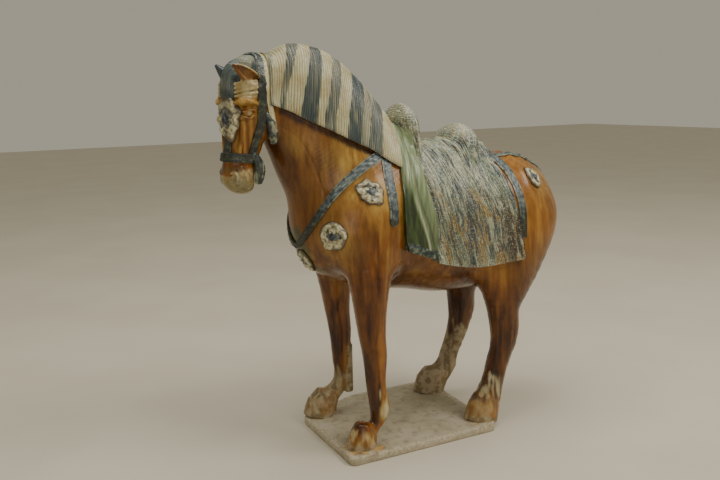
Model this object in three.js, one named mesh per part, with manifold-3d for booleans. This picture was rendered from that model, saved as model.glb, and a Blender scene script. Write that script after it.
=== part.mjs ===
// A glazed earthenware horse figure on its slab, in millimetres.
// +X is the way the horse faces, +Y its left (near) side and +Z up.
// The origin is the middle of the slab's underside.
// The horse is a field of rounded limbs joined smoothly, which is meshed and thinned. The mane, saddle
// cloth, drapes, straps and pendants are thick sheets laid on its skin. All of it is fired as one piece.
import * as THREE from "three";
import Module from "manifold-3d";
import { mergeVertices } from "three/addons/utils/BufferGeometryUtils.js";

const wasm = await Module();
wasm.setup();

// Driving sizes
const SLAB_THICK = 14;
const LEG_SPREAD = 85; // from the middle plane to a leg
const HEAD_TURN = THREE.MathUtils.degToRad(16); // to the horse's left
const HEAD_PIVOT = new THREE.Vector3(222, 0, 0);

// Fineness of the mesh
const CELL = 6;
const HORSE_TRIANGLES = 6000;
const FIGURE_TRIANGLES = 9200;

// A smooth line through rows of numbers, which holds positions and radii alike.
function smoothRows(rows, perSpan) {
  const at = (i) => rows[THREE.MathUtils.clamp(i, 0, rows.length - 1)];
  const out = [];
  for (let i = 0; i < rows.length - 1; i++) {
    for (let j = 0; j < perSpan; j++) {
      const t = j / perSpan;
      out.push(
        at(i).map((b, k) => {
          const [a, c, d] = [at(i - 1)[k], at(i + 1)[k], at(i + 2)[k]];
          return b + 0.5 * t * (c - a + t * (2 * a - 5 * b + 4 * c - d + t * (3 * (b - c) + d - a)));
        }),
      );
    }
  }
  out.push(rows.at(-1));
  return out;
}

function smoothMin(a, b, k) {
  const h = Math.max(k - Math.abs(a - b), 0) / k;
  return Math.min(a, b) - h * h * k * 0.25;
}

function smoothMax(a, b, k) {
  return -smoothMin(-a, -b, k);
}

function smoothStep(t) {
  const c = THREE.MathUtils.clamp(t, 0, 1);
  return c * c * (3 - 2 * c);
}

const FAR = 1e3;

// A limb: rows of [x, y, z, radius fore and aft of its line, radius to the side].
function limb(rows, endRadius = 0, perSpan = 4) {
  const line = smoothRows(rows, perSpan);
  const spans = line.slice(1).map((b, i) => {
    const a = line[i];
    const from = new THREE.Vector3(...a);
    const along = new THREE.Vector3(...b).sub(from);
    const run = along.length();
    along.normalize();
    const side = new THREE.Vector3(0, 1, 0).addScaledVector(along, -along.y).normalize();
    const fore = new THREE.Vector3().crossVectors(side, along);
    return { from, along, run, side, fore, r0: a.slice(3), r1: b.slice(3) };
  });
  const box = new THREE.Box3().setFromPoints(line.map((p) => new THREE.Vector3(...p)));
  const widest = Math.max(...line.map((p) => Math.max(p[3], p[4])));
  box.expandByScalar(widest + 40);
  const q = new THREE.Vector3();
  return (p) => {
    if (!box.containsPoint(p)) return FAR;
    let best = FAR;
    for (const s of spans) {
      q.subVectors(p, s.from);
      const t = THREE.MathUtils.clamp(q.dot(s.along) / s.run, 0, 1);
      q.addScaledVector(s.along, -t * s.run);
      const a = s.r0[0] + t * (s.r1[0] - s.r0[0]);
      const b = s.r0[1] + t * (s.r1[1] - s.r0[1]);
      const c = endRadius || (a + b) / 2;
      const r = q.length();
      const k = Math.hypot(q.dot(s.fore) / a, q.dot(s.side) / b, q.dot(s.along) / c);
      best = Math.min(best, k > 1e-6 ? r - r / k : -Math.min(a, b));
    }
    return best;
  };
}

// An egg: centre, radii along X, Y and Z, and a tilt about Y that swings its top forward.
function egg([x, y, z], [a, b, c], tilt = 0) {
  const centre = new THREE.Vector3(x, y, z);
  const axis = new THREE.Vector3(0, 1, 0);
  const q = new THREE.Vector3();
  const reach = Math.max(a, b, c) + 40;
  return (p) => {
    q.subVectors(p, centre);
    if (q.lengthSq() > reach * reach) return FAR;
    q.applyAxisAngle(axis, -tilt);
    const r = q.length();
    const k = Math.hypot(q.x / a, q.y / b, q.z / c);
    return k > 1e-6 ? r - r / k : -Math.min(a, b, c);
  };
}

const mirrored = (rows) => rows.map(([x, y, ...rest]) => [x, -y, ...rest]);

// The barrel from chest to rump: [x, y, z, half height, half width].
const TORSO = [
  [136, 0, 362, 70, 62],
  [100, 0, 373, 101, 86],
  [45, 0, 382, 118, 97],
  [-35, 0, 373, 121, 101],
  [-115, 0, 361, 123, 103],
  [-185, 0, 367, 115, 100],
  [-236, 0, 383, 103, 95],
  [-277, 0, 379, 85, 80],
];

// The neck from the withers to the poll: [x, y, z, half depth, half width].
const NECK = [
  [52, 0, 420, 108, 82],
  [97, 0, 484, 109, 68],
  [138, 0, 549, 98, 54],
  [176, 0, 597, 82, 45],
  [206, 2, 626, 53, 39],
];

const L = LEG_SPREAD;
const FORELEG = [
  [72, 58, 398, 72, 40],
  [83, 70, 338, 52, 36],
  [89, 79, 285, 34, 30],
  [90, L, 213, 24, 21.5],
  [85, L, 168, 21, 18.5],
  [84, L, 118, 16.5, 15.5],
  [78, L, 82, 17.5, 16],
  [79, L, 64, 15, 14],
  [87, L, 48, 10, 10.5],
  [101, L, 34, 12, 12],
];
// The off foreleg stands a little further back, with a mended block down the back of its cannon.
const OFF_PASTERN = [
  [82, L, 78, 16, 16],
  [87, L, 56, 14, 16],
  [101, L, 34, 18, 20],
];
const OFF_FORELEG = mirrored([...FORELEG.slice(0, 6), ...OFF_PASTERN]).map(([x, y, z, a, b]) => {
  const back = 22 * smoothStep((380 - z) / 160) * smoothStep((z - 24) / 60);
  return [x - back, y, z, a, b];
});
const MENDED_BLOCK = [
  [48, -L, 136, 8, 10],
  [50, -L, 50, 10, 11],
];
const HINDLEG = [
  [-224, 54, 372, 82, 44],
  [-214, 64, 318, 74, 42],
  [-192, 75, 262, 54, 34],
  [-182, 82, 215, 32, 26],
  [-184, L, 166, 27, 20],
  [-171, L, 122, 20, 18],
  [-158, L, 82, 21, 18],
  [-149, L, 56, 23, 20],
  [-138, L, 30, 26, 23],
];
// The off hind leg stands further back too, from the pastern up, and its fetlock is slimmer.
const OFF_HINDLEG = mirrored(HINDLEG).map(([x, y, z, a, b]) => {
  const back = 24 * smoothStep((400 - z) / 200) * smoothStep((z - 22) / 40);
  const slim = z < 100 ? 3.5 : 0;
  return [x - back + slim, y, z, a - slim, b];
});

// A blunt hoof under its glaze: the middle of its sole, its reach fore and aft, and the lean of its crown.
function hoof(x, y, reach, lean) {
  const rows = [
    [x - lean, y, SLAB_THICK + 38, 0.62 * reach, 0.62 * reach],
    [x - 0.4 * lean, y, SLAB_THICK + 20, 0.88 * reach, 0.8 * reach],
    [x, y, SLAB_THICK - 2, reach, 0.88 * reach],
  ];
  return limb(rows, 6);
}

// The head hangs straight down before it is turned: [x, y, z, half depth, half width].
const SKULL = [
  [238, 0, 628, 34, 34],
  [259, 0, 602, 39, 37],
  [268, 0, 568, 38, 33],
  [272, 0, 530, 31, 27],
  [281, 0, 502, 28, 22.5],
  [287, 0, 476, 27, 24],
];

function headField() {
  const skull = limb(SKULL, 24);
  const lips = egg([284, 0, 461], [22, 19, 14], -0.35);
  const forelock = egg([283, 0, 618], [23, 16, 36], -0.35);
  const poll = egg([258, 0, 640], [24, 25, 17]);
  const parts = [
    [forelock, 4],
    [poll, 8],
  ];
  for (const s of [1, -1]) {
    parts.push([egg([250, 23 * s, 566], [30, 13, 35], 0.25), 14]); // cheek
    parts.push([egg([286, 28 * s, 590], [14, 9, 8], 0.2), 8]); // brow
    parts.push([egg([285, 30 * s, 571], [9, 8, 7]), 4]); // eye
    parts.push([egg([301, 15 * s, 476], [10, 8, 13], -0.3), 6]); // nostril rim
    parts.push([egg([236, 30 * s, 548], [8, 10, 21]), 3]); // loop of the throat strap
    parts.push([egg([266, 24 * s, 486], [9, 6, 10]), 2]); // bit ring
  }
  parts.push([ear(1, NEAR_EAR, 6), 4], [ear(-1, OFF_EAR, 5), 4]);
  const hollows = [1, -1].map((s) => egg([309, 17 * s, 473], [5, 6, 7], -0.3));
  const mouth = egg([288, 0, 463], [34, 40, 1.6], -0.4);
  return (p) => {
    let d = smoothMin(skull(p), lips(p), 12);
    for (const [part, k] of parts) d = smoothMin(d, part(p), k);
    for (const hollow of hollows) d = smoothMax(d, -hollow(p), 3);
    return smoothMax(d, -mouth(p), 3);
  };
}

// The near ear is pricked forward and the off ear stands up; each is a leaf with a bowl on its outer side.
const NEAR_EAR = [
  [262, 28, 612, 11, 9],
  [280, 35, 622, 13, 8],
  [300, 38, 634, 9, 6],
  [313, 37, 641, 3, 3],
];
const OFF_EAR = [
  [262, -28, 613, 11, 9],
  [276, -33, 627, 11, 8],
  [293, -35, 643, 3, 3],
];

function ear(s, rows, outward) {
  const shell = limb(rows, 2);
  const inside = rows.map(([x, y, z, a, b]) => [x + 2, y + s * outward, z + 1, 0.62 * a, 0.62 * b]);
  const bowl = limb(inside, 2);
  return (p) => smoothMax(shell(p), -bowl(p), 2);
}

const up = new THREE.Vector3(0, 0, 1);
const unturned = new THREE.Vector3();
function turnedHead() {
  const head = headField();
  return (p) => {
    unturned.subVectors(p, HEAD_PIVOT).applyAxisAngle(up, -HEAD_TURN).add(HEAD_PIVOT);
    return head(unturned);
  };
}

// The tail is docked and bound.
const TAIL = [
  [-304, 0, 426, 12, 11],
  [-322, 0, 404, 11, 10],
  [-330, 0, 372, 10, 9],
  [-327, 0, 348, 7, 7],
];

// Distance to the bare horse: negative inside.
function horseField() {
  const forms = [
    [limb(TORSO, 46), 1],
    [limb(NECK, 30), 40],
    [limb(FORELEG), 26],
    [limb(OFF_FORELEG), 26],
    [limb(HINDLEG), 30],
    [limb(OFF_HINDLEG), 30],
    [turnedHead(), 14],
  ];
  forms.push([hoof(113, L, 25, 4), 7], [hoof(110, -L, 31, 15), 9]);
  forms.push([hoof(-131, L, 31, 10), 9], [hoof(-130, -L, 32, 12), 9], [limb(MENDED_BLOCK, 4), 3]);
  // Shoulders, breast, elbows, stifles and buttocks swell under the glaze.
  for (const s of [1, -1]) {
    forms.push([egg([112, 48 * s, 372], [46, 42, 52], 0.2), 30]);
    forms.push([egg([-204, 72 * s, 300], [34, 26, 42], 0.3), 24]);
    forms.push([egg([-267, 44 * s, 352], [44, 42, 62], -0.2), 30]);
  }
  forms.push([limb(TAIL, 8), 6]);
  return (p) => forms.reduce((d, [form, k]) => smoothMin(d, form(p), k), FAR);
}

const horse = horseField();

// Marching over a grid of cells, each cut into six tetrahedra, which always gives a closed surface.
const TETRAHEDRA = [
  [0, 5, 1, 6],
  [0, 1, 2, 6],
  [0, 2, 3, 6],
  [0, 3, 7, 6],
  [0, 7, 4, 6],
  [0, 4, 5, 6],
];
const CORNERS = [
  [0, 0, 0],
  [1, 0, 0],
  [1, 1, 0],
  [0, 1, 0],
  [0, 0, 1],
  [1, 0, 1],
  [1, 1, 1],
  [0, 1, 1],
];

function meshField(field, low, high, cell) {
  const n = low.map((l, i) => Math.ceil((high[i] - l) / cell) + 1);
  const id = (i, j, k) => (k * n[1] + j) * n[0] + i;
  const value = new Float64Array(n[0] * n[1] * n[2]);
  const p = new THREE.Vector3();
  for (let k = 0; k < n[2]; k++)
    for (let j = 0; j < n[1]; j++)
      for (let i = 0; i < n[0]; i++) {
        p.set(low[0] + i * cell, low[1] + j * cell, low[2] + k * cell);
        value[id(i, j, k)] = field(p) || 1e-6;
      }
  const points = [];
  const faces = [];
  const onEdge = new Map();
  const place = (g) => [
    low[0] + (g % n[0]) * cell,
    low[1] + (Math.floor(g / n[0]) % n[1]) * cell,
    low[2] + Math.floor(g / (n[0] * n[1])) * cell,
  ];
  const crossing = (a, b) => {
    const [lo, hi] = a < b ? [a, b] : [b, a];
    const key = lo * value.length + hi;
    if (!onEdge.has(key)) {
      const t = THREE.MathUtils.clamp(value[lo] / (value[lo] - value[hi]), 0.04, 0.96);
      const [u, v] = [place(lo), place(hi)];
      onEdge.set(key, points.length);
      points.push(u.map((c, i) => c + t * (v[i] - c)));
    }
    return onEdge.get(key);
  };
  const cut = (tet) => {
    const inside = tet.filter((g) => value[g] < 0);
    const outside = tet.filter((g) => value[g] >= 0);
    if (!inside.length || !outside.length) return;
    let ring;
    if (inside.length === 2) {
      const [[a, b], [c, d]] = [inside, outside];
      ring = [crossing(a, c), crossing(a, d), crossing(b, d), crossing(b, c)];
    } else {
      const [lone, three] = inside.length === 1 ? [inside[0], outside] : [outside[0], inside];
      ring = three.map((g) => crossing(lone, g));
    }
    const [a, b, c] = ring.map((i) => new THREE.Vector3(...points[i]));
    const normal = b.sub(a).cross(c.sub(a));
    const outward = new THREE.Vector3(...place(outside[0]));
    outward.sub(new THREE.Vector3(...place(inside[0])));
    if (normal.dot(outward) < 0) ring.reverse();
    for (let i = 2; i < ring.length; i++) faces.push([ring[0], ring[i - 1], ring[i]]);
  };
  for (let k = 0; k < n[2] - 1; k++)
    for (let j = 0; j < n[1] - 1; j++)
      for (let i = 0; i < n[0] - 1; i++) {
        const corner = CORNERS.map(([x, y, z]) => id(i + x, j + y, k + z));
        const signs = corner.reduce((s, g) => s + (value[g] < 0 ? 1 : 0), 0);
        if (signs > 0 && signs < 8) TETRAHEDRA.forEach((t) => cut(t.map((c) => corner[c])));
      }
  return { points, faces };
}

// Thins a closed mesh: each pass folds away the edges that bend the surface least.
function thin(mesh, target) {
  const points = mesh.points.map((p) => new THREE.Vector3(...p));
  const faces = mesh.faces.map((f) => [...f]);
  const around = points.map(() => new Set());
  const quadrics = points.map(() => new Float64Array(10));
  const normalOf = (a, b, c) => b.clone().sub(a).cross(c.clone().sub(a));
  faces.forEach((f, i) => {
    const n = normalOf(...f.map((v) => points[v]));
    const area = n.length() / 2;
    n.normalize();
    const plane = [n.x, n.y, n.z, -n.dot(points[f[0]])];
    for (const v of f) {
      around[v].add(i);
      let slot = 0;
      for (let r = 0; r < 4; r++)
        for (let c = r; c < 4; c++) quadrics[v][slot++] += area * plane[r] * plane[c];
    }
  });
  const bend = (q, { x, y, z }) =>
    q[0] * x * x + q[4] * y * y + q[7] * z * z + q[9] +
    2 * (q[1] * x * y + q[2] * x * z + q[3] * x + q[5] * y * z + q[6] * y + q[8] * z);
  const best = (a, b) => {
    const q = quadrics[a].map((v, i) => v + quadrics[b][i]);
    const middle = points[a].clone().lerp(points[b], 0.5);
    const m = new THREE.Matrix3().set(q[0], q[1], q[2], q[1], q[4], q[5], q[2], q[5], q[7]);
    const size = q[0] + q[4] + q[7];
    if (Math.abs(m.determinant()) > 1e-4 * size ** 3) {
      const ideal = new THREE.Vector3(-q[3], -q[6], -q[8]).applyMatrix3(m.invert());
      if (ideal.distanceTo(middle) < points[a].distanceTo(points[b])) middle.copy(ideal);
    }
    const length = points[a].distanceTo(points[b]);
    return { a, b, q, at: middle, cost: Math.max(bend(q, middle), 0) + 1e-4 * length * length };
  };
  const neighbours = (v) => new Set([...around[v]].flatMap((i) => faces[i]).filter((u) => u !== v));
  const turnsOver = (v, other, at) =>
    [...around[v]].some((i) => {
      if (faces[i].includes(other)) return false;
      const before = normalOf(...faces[i].map((u) => points[u]));
      const after = normalOf(...faces[i].map((u) => (u === v ? at : points[u])));
      return after.dot(before) < 0.3 * after.length() * before.length() || after.length() < 0.05;
    });
  let count = faces.length;
  while (count > target) {
    const edges = [];
    points.forEach((_, v) => neighbours(v).forEach((u) => u > v && edges.push(best(v, u))));
    edges.sort((e, f) => e.cost - f.cost);
    const most = Math.max(edges.length * 0.2, 20);
    const touched = new Set();
    let folded = 0;
    for (const { a, b, q, at } of edges.slice(0, most * 2)) {
      if (count <= target || folded > most) break;
      if (touched.has(a) || touched.has(b)) continue;
      const [na, nb] = [neighbours(a), neighbours(b)];
      const shared = [...na].filter((v) => nb.has(v));
      if (shared.length !== 2 || turnsOver(a, b, at) || turnsOver(b, a, at)) continue;
      for (const i of around[b]) {
        if (faces[i].includes(a)) {
          faces[i].forEach((v) => v !== b && around[v].delete(i));
          faces[i] = [];
          count--;
        } else {
          faces[i] = faces[i].map((v) => (v === b ? a : v));
          around[a].add(i);
        }
      }
      around[b].clear();
      points[a].copy(at);
      quadrics[a] = q;
      [a, b, ...na, ...nb].forEach((v) => touched.add(v));
      folded++;
    }
    if (!folded) break;
  }
  return { points: points.map((p) => p.toArray()), faces: faces.filter((f) => f.length) };
}

function geometryOf({ points, faces }) {
  const geometry = new THREE.BufferGeometry();
  geometry.setAttribute("position", new THREE.Float32BufferAttribute(points.flat(), 3));
  geometry.setIndex(faces.flat());
  return geometry;
}

function solidOf(geometry) {
  const bare = geometry.clone();
  bare.deleteAttribute("normal");
  bare.deleteAttribute("uv");
  const merged = mergeVertices(bare, 1e-3);
  const vertProperties = merged.attributes.position.array;
  const triVerts = new Uint32Array(merged.index.array);
  return new wasm.Manifold(new wasm.Mesh({ numProp: 3, vertProperties, triVerts }));
}

// The skin point met on the way in from far outside towards `heart`, against `aim`.
function reachSkin(field, heart, aim, reach = 230) {
  const p = heart.clone().addScaledVector(aim, reach);
  let left = reach;
  for (let i = 0; i < 90 && left > 0; i++) {
    const d = field(p);
    if (Math.abs(d) < 0.05) break;
    const step = Math.min(d * 0.8, 10);
    p.addScaledVector(aim, -step);
    left -= step;
  }
  return p;
}

// A closed sheet: `outer` and `inner` are grids of points of the same size.
function closedSheet(outer, inner) {
  const rows = outer.length;
  const cols = outer[0].length;
  const at = (i, j, deep) => (deep * rows + i) * cols + j;
  const points = [outer, inner].flat(2).map((p) => p.toArray());
  const faces = [];
  const quad = (a, b, c, d) => faces.push([a, b, c], [a, c, d]);
  for (let i = 0; i < rows - 1; i++) {
    for (let j = 0; j < cols - 1; j++) {
      quad(at(i, j, 0), at(i, j + 1, 0), at(i + 1, j + 1, 0), at(i + 1, j, 0));
      quad(at(i, j, 1), at(i + 1, j, 1), at(i + 1, j + 1, 1), at(i, j + 1, 1));
    }
    quad(at(i, 0, 0), at(i + 1, 0, 0), at(i + 1, 0, 1), at(i, 0, 1));
    quad(at(i + 1, cols - 1, 0), at(i, cols - 1, 0), at(i, cols - 1, 1), at(i + 1, cols - 1, 1));
  }
  for (let j = 0; j < cols - 1; j++) {
    quad(at(0, j + 1, 0), at(0, j, 0), at(0, j, 1), at(0, j + 1, 1));
    quad(at(rows - 1, j, 0), at(rows - 1, j + 1, 0), at(rows - 1, j + 1, 1), at(rows - 1, j, 1));
  }
  const volume = faces.reduce((sum, f) => {
    const [a, b, c] = f.map((v) => new THREE.Vector3(...points[v]));
    return sum + a.dot(b.cross(c));
  }, 0);
  if (volume < 0) faces.forEach((f) => f.reverse());
  return solidOf(geometryOf({ points, faces }));
}

// A sheet laid on a form. ray(u, v) gives [heart, aim]; rise(u, v) is how far the sheet stands off the skin.
function lay(field, rows, cols, ray, rise, sink = 6, drop = null) {
  const outer = [];
  const inner = [];
  for (let i = 0; i <= rows; i++) {
    outer.push([]);
    inner.push([]);
    for (let j = 0; j <= cols; j++) {
      const [u, v] = [i / rows, j / cols];
      const [heart, aim] = ray(u, v);
      const skin = reachSkin(field, heart, aim);
      inner[i].push(skin.clone().addScaledVector(aim, -sink));
      const top = skin.clone().addScaledVector(aim, rise(u, v));
      if (drop) drop(top, u, v, outer[i]);
      outer[i].push(top);
    }
  }
  return closedSheet(outer, inner);
}

// The saddle under its cloth: a tall pommel board, a round cantle and the seat between.
function saddledField() {
  const pommel = egg([-20, 0, 508], [18, 56, 62], 0.02);
  const cantle = egg([-127, 0, 474], [34, 58, 59], -0.25);
  const seat = egg([-84, 0, 460], [72, 62, 48]);
  const roll = egg([-176, 0, 474], [22, 36, 30]);
  return (p) => {
    const saddle = smoothMin(smoothMin(pommel(p), cantle(p), 10), smoothMin(seat(p), roll(p), 12), 16);
    return smoothMin(horse(p), saddle, 18);
  };
}

const saddled = saddledField();
const side = new THREE.Vector3(0, 1, 0);

// A fan of rays in an upright plane: v runs from the top of the back (0) out to the flank (1).
function fan(heart, top, s, v, last = 90) {
  const angle = THREE.MathUtils.degToRad(last) * v;
  const rise = top.clone().sub(heart).normalize();
  return [heart, rise.multiplyScalar(Math.cos(angle)).addScaledVector(side, s * Math.sin(angle))];
}

// The mane falls on both sides: [crest x, crest z, lower edge x, lower edge z].
const MANE = [
  [2, 536, 16, 470],
  [30, 574, 48, 488],
  [58, 608, 76, 507],
  [93, 641, 110, 523],
  [129, 661, 146, 541],
  [164, 669, 181, 557],
  [200, 668, 208, 572],
  [236, 660, 237, 582],
];
const LOCKS = 13;

function maneSide(s) {
  const line = smoothRows(MANE, 8);
  const station = (u) => {
    const t = u * (line.length - 1);
    const i = Math.min(Math.floor(t), line.length - 2);
    return line[i].map((a, k) => a + (t - i) * (line[i + 1][k] - a));
  };
  const ray = (u, v) => {
    const [cx, cz, ex, ez] = station(u);
    return fan(new THREE.Vector3(ex, 0, ez), new THREE.Vector3(cx, 0, cz), s, v - 0.03 * (1 - v));
  };
  const rise = (u, v) => {
    const lock = Math.abs(Math.sin(Math.PI * LOCKS * u));
    return 3 + 3 * smoothStep(u / 0.15) + 2.5 * v + 1.6 * lock;
  };
  return lay(horse, LOCKS * 2, 5, ray, rise, 8);
}

// The saddle cloth hangs straight down from the widest part of the barrel.
const CLOTH_FRONT = [-2, -28]; // x at the back and at the hem
const CLOTH_REAR = [-176, -203];
const CLOTH_RIBS = 13;

function clothSide(s) {
  const ray = (u, v) => {
    const x = THREE.MathUtils.lerp(
      THREE.MathUtils.lerp(CLOTH_FRONT[0], CLOTH_FRONT[1], v),
      THREE.MathUtils.lerp(CLOTH_REAR[0], CLOTH_REAR[1], v),
      u,
    );
    const hem = 309 - 7 * Math.sin(Math.PI * u) + 10 * (1 - u) ** 3;
    return fan(new THREE.Vector3(x, 0, hem), new THREE.Vector3(x, 0, 600), s, v - 0.03 * (1 - v), 92);
  };
  const rise = (u, v) => 7 + 3 * v + 2 * Math.abs(Math.sin(Math.PI * CLOTH_RIBS * u));
  const drop = (top, u, v, row) => {
    const above = row.at(-1);
    if (above && v > 0.5 && above.y * s > top.y * s) top.y = above.y + s;
  };
  return lay(saddled, CLOTH_RIBS * 2, 9, ray, rise, 8, drop);
}

// The green drape: pleats gathered at the pommel that fall in front of the cloth to a round end.
const PLEATS = 3;

function drapeSide(s) {
  const ray = (u, v) => {
    const low = Math.sin((Math.PI / 2) * v);
    const front = 12 + 25 * Math.sin(Math.PI * Math.min(v * 0.72, 1));
    const rear = -16 - 12 * low;
    const x = THREE.MathUtils.lerp(front, rear, u);
    const bottom = 341 - 22 * u;
    return fan(new THREE.Vector3(x, 0, bottom), new THREE.Vector3(x, 0, 600), s, v * 0.93 + 0.07);
  };
  const rise = (u, v) => {
    const pleat = Math.abs(Math.sin(Math.PI * (PLEATS * u + 0.15)));
    return 7 + 5 * v + 3.5 * pleat - 5 * (2 * u - 1) ** 4;
  };
  const drop = (top, u, v, row) => {
    const above = row.at(-1);
    if (above && v > 0.5 && above.y * s > top.y * s) top.y = above.y;
  };
  return lay(saddled, 9, 7, ray, rise, 8, drop);
}

// A point slid along the form's own slope on to its skin, and the way out from it.
function skinAt(field, point) {
  const p = point.clone();
  const out = new THREE.Vector3();
  for (let i = 0; i < 6; i++) {
    out.set(
      field(p.clone().setX(p.x + 0.5)) - field(p.clone().setX(p.x - 0.5)),
      field(p.clone().setY(p.y + 0.5)) - field(p.clone().setY(p.y - 0.5)),
      field(p.clone().setZ(p.z + 0.5)) - field(p.clone().setZ(p.z - 0.5)),
    );
    out.normalize();
    p.addScaledVector(out, -THREE.MathUtils.clamp(field(p), -12, 12));
  }
  return [p, out];
}

// A strap through points near the skin, with a flat face and a pointed end where `tip` is set.
function strap(field, stops, width, thick, { steps = 3, tip = false } = {}) {
  const line = smoothRows(stops, steps).map((p) => new THREE.Vector3(...p));
  const outer = [];
  const inner = [];
  line.forEach((p, i) => {
    const [on, out] = skinAt(field, p);
    const along = line[Math.min(i + 1, line.length - 1)].clone().sub(line[Math.max(i - 1, 0)]);
    const across = along.cross(out).normalize();
    const half = (width / 2) * (tip && i === line.length - 1 ? 0.35 : 1);
    const edge = (t) => skinAt(field, on.clone().addScaledVector(across, t * half));
    const row = [-1, 1].map(edge);
    outer.push(row.map(([q, n]) => q.clone().addScaledVector(n, thick)));
    inner.push(row.map(([q, n]) => q.clone().addScaledVector(n, -5)));
  });
  return closedSheet(outer, inner);
}

// A pendant on the skin: reach(angle) is its radius and rise(r, angle) its height, r from 0 to 1.
function pendant(field, centre, head, reach, rise, steps = 6) {
  const [on, out] = skinAt(field, new THREE.Vector3(...centre));
  const across = new THREE.Vector3(...head).cross(out).normalize();
  const upward = out.clone().cross(across);
  const outer = [];
  const inner = [];
  for (let i = 0; i <= steps; i++) {
    outer.push([]);
    inner.push([]);
    for (let j = 0; j <= steps; j++) {
      const [u, v] = [(2 * i) / steps - 1, (2 * j) / steps - 1];
      const r = Math.max(Math.abs(u), Math.abs(v));
      const angle = r === 0 ? 0 : Math.atan2(v, u);
      const flat = on.clone();
      flat.addScaledVector(across, r * reach(angle) * Math.cos(angle));
      flat.addScaledVector(upward, r * reach(angle) * Math.sin(angle));
      const [q, n] = skinAt(field, flat);
      outer[i].push(q.clone().addScaledVector(n, rise(r, angle)));
      inner[i].push(q.clone().addScaledVector(n, -5));
    }
  }
  return closedSheet(outer, inner);
}

const rosette = (radius) => [
  (angle) => radius * (1 + 0.08 * Math.cos(5 * angle)),
  (r) => 4.5 + 2 * Math.cos(7 * r),
];

// A leaf whose point is up.
const leaf = (width, height) => [
  (angle) => {
    const point = Math.max(Math.sin(angle), 0) ** 6;
    return Math.hypot((width / 2) * Math.cos(angle), (height / 2) * Math.sin(angle)) * (1 + 0.15 * point);
  },
  (r) => 4.5 + 2 * Math.cos(6 * r),
];

const STRAP = 14;
const BREAST_STRAP = [
  [60, 71, 498],
  [95, 73, 479],
  [133, 68, 449],
  [161, 57, 412],
  [176, 38, 380],
  [184, 13, 356],
  [185, 0, 350],
];
const HANGING_STRAP = [
  [50, 74, 490],
  [53, 84, 461],
  [54, 96, 435],
  [56, 104, 385],
];
const REAR_STRAP = [
  [-196, 10, 478],
  [-200, 45, 464],
  [-203, 80, 436],
  [-206, 100, 390],
  [-204, 108, 340],
];
const CROUP_STRAP = [
  [-190, 26, 476],
  [-235, 24, 470],
  [-285, 20, 450],
  [-322, 14, 416],
];

function harness(s) {
  const flip = (rows) => (s < 0 ? mirrored(rows) : rows);
  return [
    strap(horse, flip(BREAST_STRAP), STRAP, 3.5),
    strap(horse, flip(HANGING_STRAP), STRAP, 3.5, { tip: true }),
    strap(horse, flip(REAR_STRAP), STRAP, 4),
    strap(horse, flip(CROUP_STRAP), 9, 3.5),
    pendant(horse, [91, 88 * s, 443], [0.7, 0, 0.7], ...leaf(34, 44)),
    pendant(horse, [153, 74 * s, 365 + 12 * s], [0, 0, 1], ...rosette(23)),
    pendant(horse, [-252, 75 * s, 439], [0.25, 0, 1], ...leaf(27, 38)),
  ];
}

// A point of the head before it is turned, where it is after.
function onHead([x, y, z]) {
  return new THREE.Vector3(x, y, z).sub(HEAD_PIVOT).applyAxisAngle(up, HEAD_TURN).add(HEAD_PIVOT).toArray();
}

function bridle() {
  const parts = [];
  for (const s of [1, -1]) {
    const cheek = [
      [244, 0, 664],
      [250, 20 * s, 656],
      [260, 36 * s, 625],
      [263, 38 * s, 590],
      [266, 36 * s, 550],
      [276, 26 * s, 505],
    ];
    const noseband = [
      [312, -3 * s, 505],
      [300, 18 * s, 504],
      [282, 26 * s, 502],
      [262, 18 * s, 497],
      [254, -3 * s, 496],
    ];
    parts.push(strap(horse, cheek.map(onHead), 15, 3.5), strap(horse, noseband.map(onHead), 13, 3.5));
  }
  const nose = [
    [306, 0, 540],
    [308, 0, 522],
    [311, 0, 506],
  ];
  parts.push(strap(horse, nose.map(onHead), 12, 3));
  const heightOnFace = (r) => 6 + 3 * Math.cos(6 * r);
  parts.push(pendant(horse, onHead([306, 0, 561]), [0, 0, -1], leaf(38, 58)[0], heightOnFace, 8));
  parts.push(pendant(horse, [172, 9, 326], [0, 0, -1], ...leaf(30, 42)));
  return parts;
}

// The slab: a hand-cut plate with one far corner cut off.
const SLAB_CORNERS = [
  [150, 120],
  [-141, 121],
  [-159, -136],
  [14, -141],
  [141, -92],
];

function slab() {
  const shape = new THREE.Shape();
  const round = 12;
  const corners = SLAB_CORNERS.map(([x, y]) => new THREE.Vector2(x, y));
  corners.forEach((c, i) => {
    const before = corners.at(i - 1).clone().sub(c).setLength(round).add(c);
    const after = corners[(i + 1) % corners.length].clone().sub(c).setLength(round).add(c);
    if (i) shape.lineTo(before.x, before.y);
    else shape.moveTo(before.x, before.y);
    shape.quadraticCurveTo(c.x, c.y, after.x, after.y);
  });
  const cut = { depth: SLAB_THICK, bevelEnabled: false, curveSegments: 4 };
  return solidOf(new THREE.ExtrudeGeometry(shape, cut));
}

const whole = thin(meshField(saddled, [-400, -140, -16], [340, 140, 690], CELL), HORSE_TRIANGLES);
let figure = solidOf(geometryOf(whole));
const sheets = [1, -1].flatMap((s) => [maneSide(s), clothSide(s), drapeSide(s), ...harness(s)]);
for (const part of [...sheets, ...bridle()]) figure = figure.add(part);

// The outer shell alone: what is sealed between a sheet and the skin under it is solid clay.
function outerShell(solid) {
  return solid.decompose().sort((a, b) => b.volume() - a.volume())[0];
}

function meshOf(solid) {
  const { numProp, vertProperties, triVerts } = solid.getMesh();
  const points = [];
  const faces = [];
  for (let i = 0; i < vertProperties.length; i += numProp)
    points.push([...vertProperties.subarray(i, i + 3)]);
  for (let i = 0; i < triVerts.length; i += 3) faces.push([...triVerts.subarray(i, i + 3)]);
  return { points, faces };
}

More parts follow.
